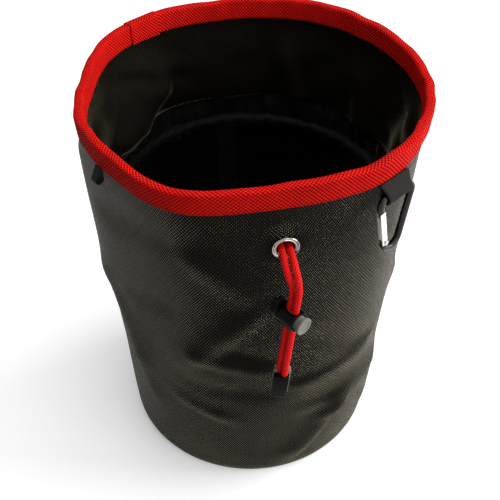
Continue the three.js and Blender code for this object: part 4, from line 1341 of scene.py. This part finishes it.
def eyelet_washer():
    bore, eased = EYELET_TUBE + CLEARANCE, WASHER_RADIUS - 0.0002
    profile = [
        (bore, WASHER_BACK), (eased, WASHER_BACK), (WASHER_RADIUS, (WASHER_BACK + WASHER_FACE) / 2),
        (eased, WASHER_FACE), (bore, WASHER_FACE), (bore, WASHER_BACK),
    ]
    return turned(profile, EYELET_STEPS, EYELET_FRAME)


finished(eyelet_ring(), "eyelet_ring", NICKEL, "eyelet")
finished(eyelet_washer(), "eyelet_back_washer", NICKEL, "eyelet_washer")


# Webbing loops


def wall_frame(angle):
    """X across, -Y out of the wall, Z up, on the wall's outer face at the binding's foot."""
    place = round_place(angle, wall_radius(angle, BINDING_FOOT), BINDING_FOOT)
    return Matrix.Translation(place) @ Matrix.Rotation(math.radians(angle + 90), 4, "Z")


def loop_line(thickness, eye, drop, standoff):
    """The middle line of a folded webbing loop, as (out, height) points from the binding's foot."""
    fold = eye + thickness / 2
    middle = CLEARANCE + standoff + eye + thickness
    points = [Vector((CLEARANCE + thickness / 2, LOOP_TOP, 0))]
    for turn in steps_between(math.pi, math.tau + FOLD_PAST_HALF, FOLD_STEPS):
        points.append(Vector((middle + fold * math.cos(turn), fold * math.sin(turn) - drop, 0)))
    points.append(Vector((CLEARANCE + thickness * 1.5 + 0.0001, LOOP_TOP, 0)))
    return even_steps(points, LOOP_STEP)


def webbing_loop(sizes, angle, width, fold_width, name, material, node):
    """A strip laid along a loop's line, narrower at the fold."""
    bm = bmesh.new()
    line = loop_line(**sizes)
    rows = len(line) - 1
    bmesh.ops.create_grid(bm, x_segments=LOOP_COLUMNS, y_segments=rows, size=0.5)
    lay_flat(bm, lambda co: (co.x * width, (co.y + 0.5) * rows * LOOP_STEP))
    fold_top = sizes["drop"] - sizes["eye"] - sizes["thickness"]
    for vert in bm.verts:
        point = line[min(round((vert.co.y + 0.5) * rows), rows)]
        fall = share_between(-point.y, 0.0, fold_top)
        vert.co = (vert.co.x * mix(width, fold_width, fall), -point.x, point.y)
    face_out(bm)
    put(bm, wall_frame(angle))
    finished(
        bm, name, material, node, sharp=CLOTH_SHARP, thickness=sizes["thickness"], offset=0.0
    )


webbing_loop(
    LABEL, LABEL_ANGLE, LABEL_WIDTH, LABEL_FOLD_WIDTH, "label_webbing_loop", LABEL_WEBBING,
    "label_loop",
)
webbing_loop(
    SIDE_LOOP, SIDE_LOOP_ANGLE, SIDE_LOOP_WIDTH, SIDE_LOOP_WIDTH, "side_ribbon_loop", BLACK_TAPE,
    "side_loop",
)


# Carabiner, in a frame with X across, Z up and the middle of its top bar at the origin

corner_x = CARABINER_TOP_WIDTH / 2 - CARABINER_CORNER
foot_z = CARABINER_FOOT - CARABINER_HEIGHT
side_run = Vector((corner_x, -(foot_z + CARABINER_CORNER)))
side_gain = CARABINER_FOOT - CARABINER_CORNER
side_turn = math.atan2(side_run.x, side_run.y) - math.asin(side_gain / side_run.length)
side_length = math.sqrt(side_run.length_squared - side_gain**2)
side_top = Vector((
    -corner_x - CARABINER_CORNER * math.cos(side_turn),
    -CARABINER_CORNER - CARABINER_CORNER * math.sin(side_turn),
))
gate_pivot = side_length - GATE_FOOT - GATE_WIDTH / 2
label_out = CLEARANCE + LABEL["standoff"] + LABEL["eye"] + LABEL["thickness"]
carabiner_frame = wall_frame(LABEL_ANGLE) @ Matrix.Translation((0, -label_out, -LABEL["drop"]))


def side_point(below):
    """A place on the left side, so far below its top."""
    point = side_top + Vector((math.sin(side_turn), -math.cos(side_turn))) * below
    return Vector((point.x, 0, point.y))


def side_frame(below):
    """On the left side, with Z up along it."""
    turn = Matrix.Rotation(-side_turn, 4, "Y")
    return carabiner_frame @ Matrix.Translation(side_point(below)) @ turn


def arc_points(x, z, radius, start, end):
    return [
        Vector((x + radius * math.cos(turn), 0, z + radius * math.sin(turn)))
        for turn in steps_between(start, end, ARC_STEPS)
    ]


def carabiner_wire():
    c = CARABINER_CORNER
    line = [side_point(GATE_TOP - 2 * CLEARANCE)]
    line += arc_points(-corner_x, -c, c, math.pi + side_turn, math.pi / 2)
    line += arc_points(corner_x, -c, c, math.pi / 2, -side_turn)
    line += arc_points(0, foot_z, CARABINER_FOOT, -side_turn, -math.pi + side_turn)
    line.append(side_point(side_length - GATE_FOOT + 2 * CLEARANCE))
    bm = put(tube(even_steps(line, WIRE_STEP), WIRE_RADIUS, WIRE_SIDES), carabiner_frame)
    inner, outer = NOSE_TONGUE
    nose_low = (inner, -TONGUE_HALF, -GATE_TOP - GATE_SLOT_DEPTH + 2 * CLEARANCE)
    add_to(bm, block(nose_low, (outer, TONGUE_HALF, 0.0), NOSE_ROUNDING, side_frame(0)))
    reach = GATE_WIDTH / 2 - CLEARANCE / 2
    heel_low, heel_high = (-reach, -TONGUE_HALF, HEEL_TONGUE_FOOT), (reach, TONGUE_HALF, reach)
    add_to(bm, block(heel_low, heel_high, HEEL_ROUNDING, side_frame(gate_pivot)))
    return bm


def carabiner_gate():
    """A flat bar, forked at both ends: extruded from its outline and eased along its edges."""
    top = gate_pivot - GATE_TOP
    t, s, half = GATE_THICKNESS / 2, GATE_SLOT_HALF, GATE_WIDTH / 2
    crotch, throat = half + CLEARANCE, top - GATE_SLOT_DEPTH
    outline = [
        (-t, -half), (-s, -half), (-s, crotch), (s, crotch), (s, -half), (t, -half),
        (t, top), (s, top), (s, throat), (-s, throat), (-s, top), (-t, top),
    ]
    bm = bmesh.new()
    face = bm.faces.new([bm.verts.new((-half, y, z)) for y, z in outline])
    made = bmesh.ops.extrude_face_region(bm, geom=[face])["geom"]
    moved = [g for g in made if isinstance(g, bmesh.types.BMVert)]
    bmesh.ops.translate(bm, vec=(GATE_WIDTH, 0, 0), verts=moved)
    face_out(bm)
    outer = [e for e in bm.edges if all(abs(v.co.y) > t * 0.99 for v in e.verts)]
    ease(bm, outer, GATE_ROUNDING, GATE_SEGMENTS)
    return put(bm, side_frame(gate_pivot))


finished(
    carabiner_wire(), "carabiner_wire", BLACK_ANODISED, "carabiner_body",
    "carabiner",
)
finished(
    carabiner_gate(), "carabiner_sprung_gate", SILVER, "carabiner_gate", "gate", sharp=30
)

for name in ("cord_lock_spring", "gate_spring", "gate_rivet"):
    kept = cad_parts[name].data
    kept.materials.clear()
    kept.materials.append(SPRING_STEEL)

bpy.context.scene.view_settings.view_transform = "Standard"
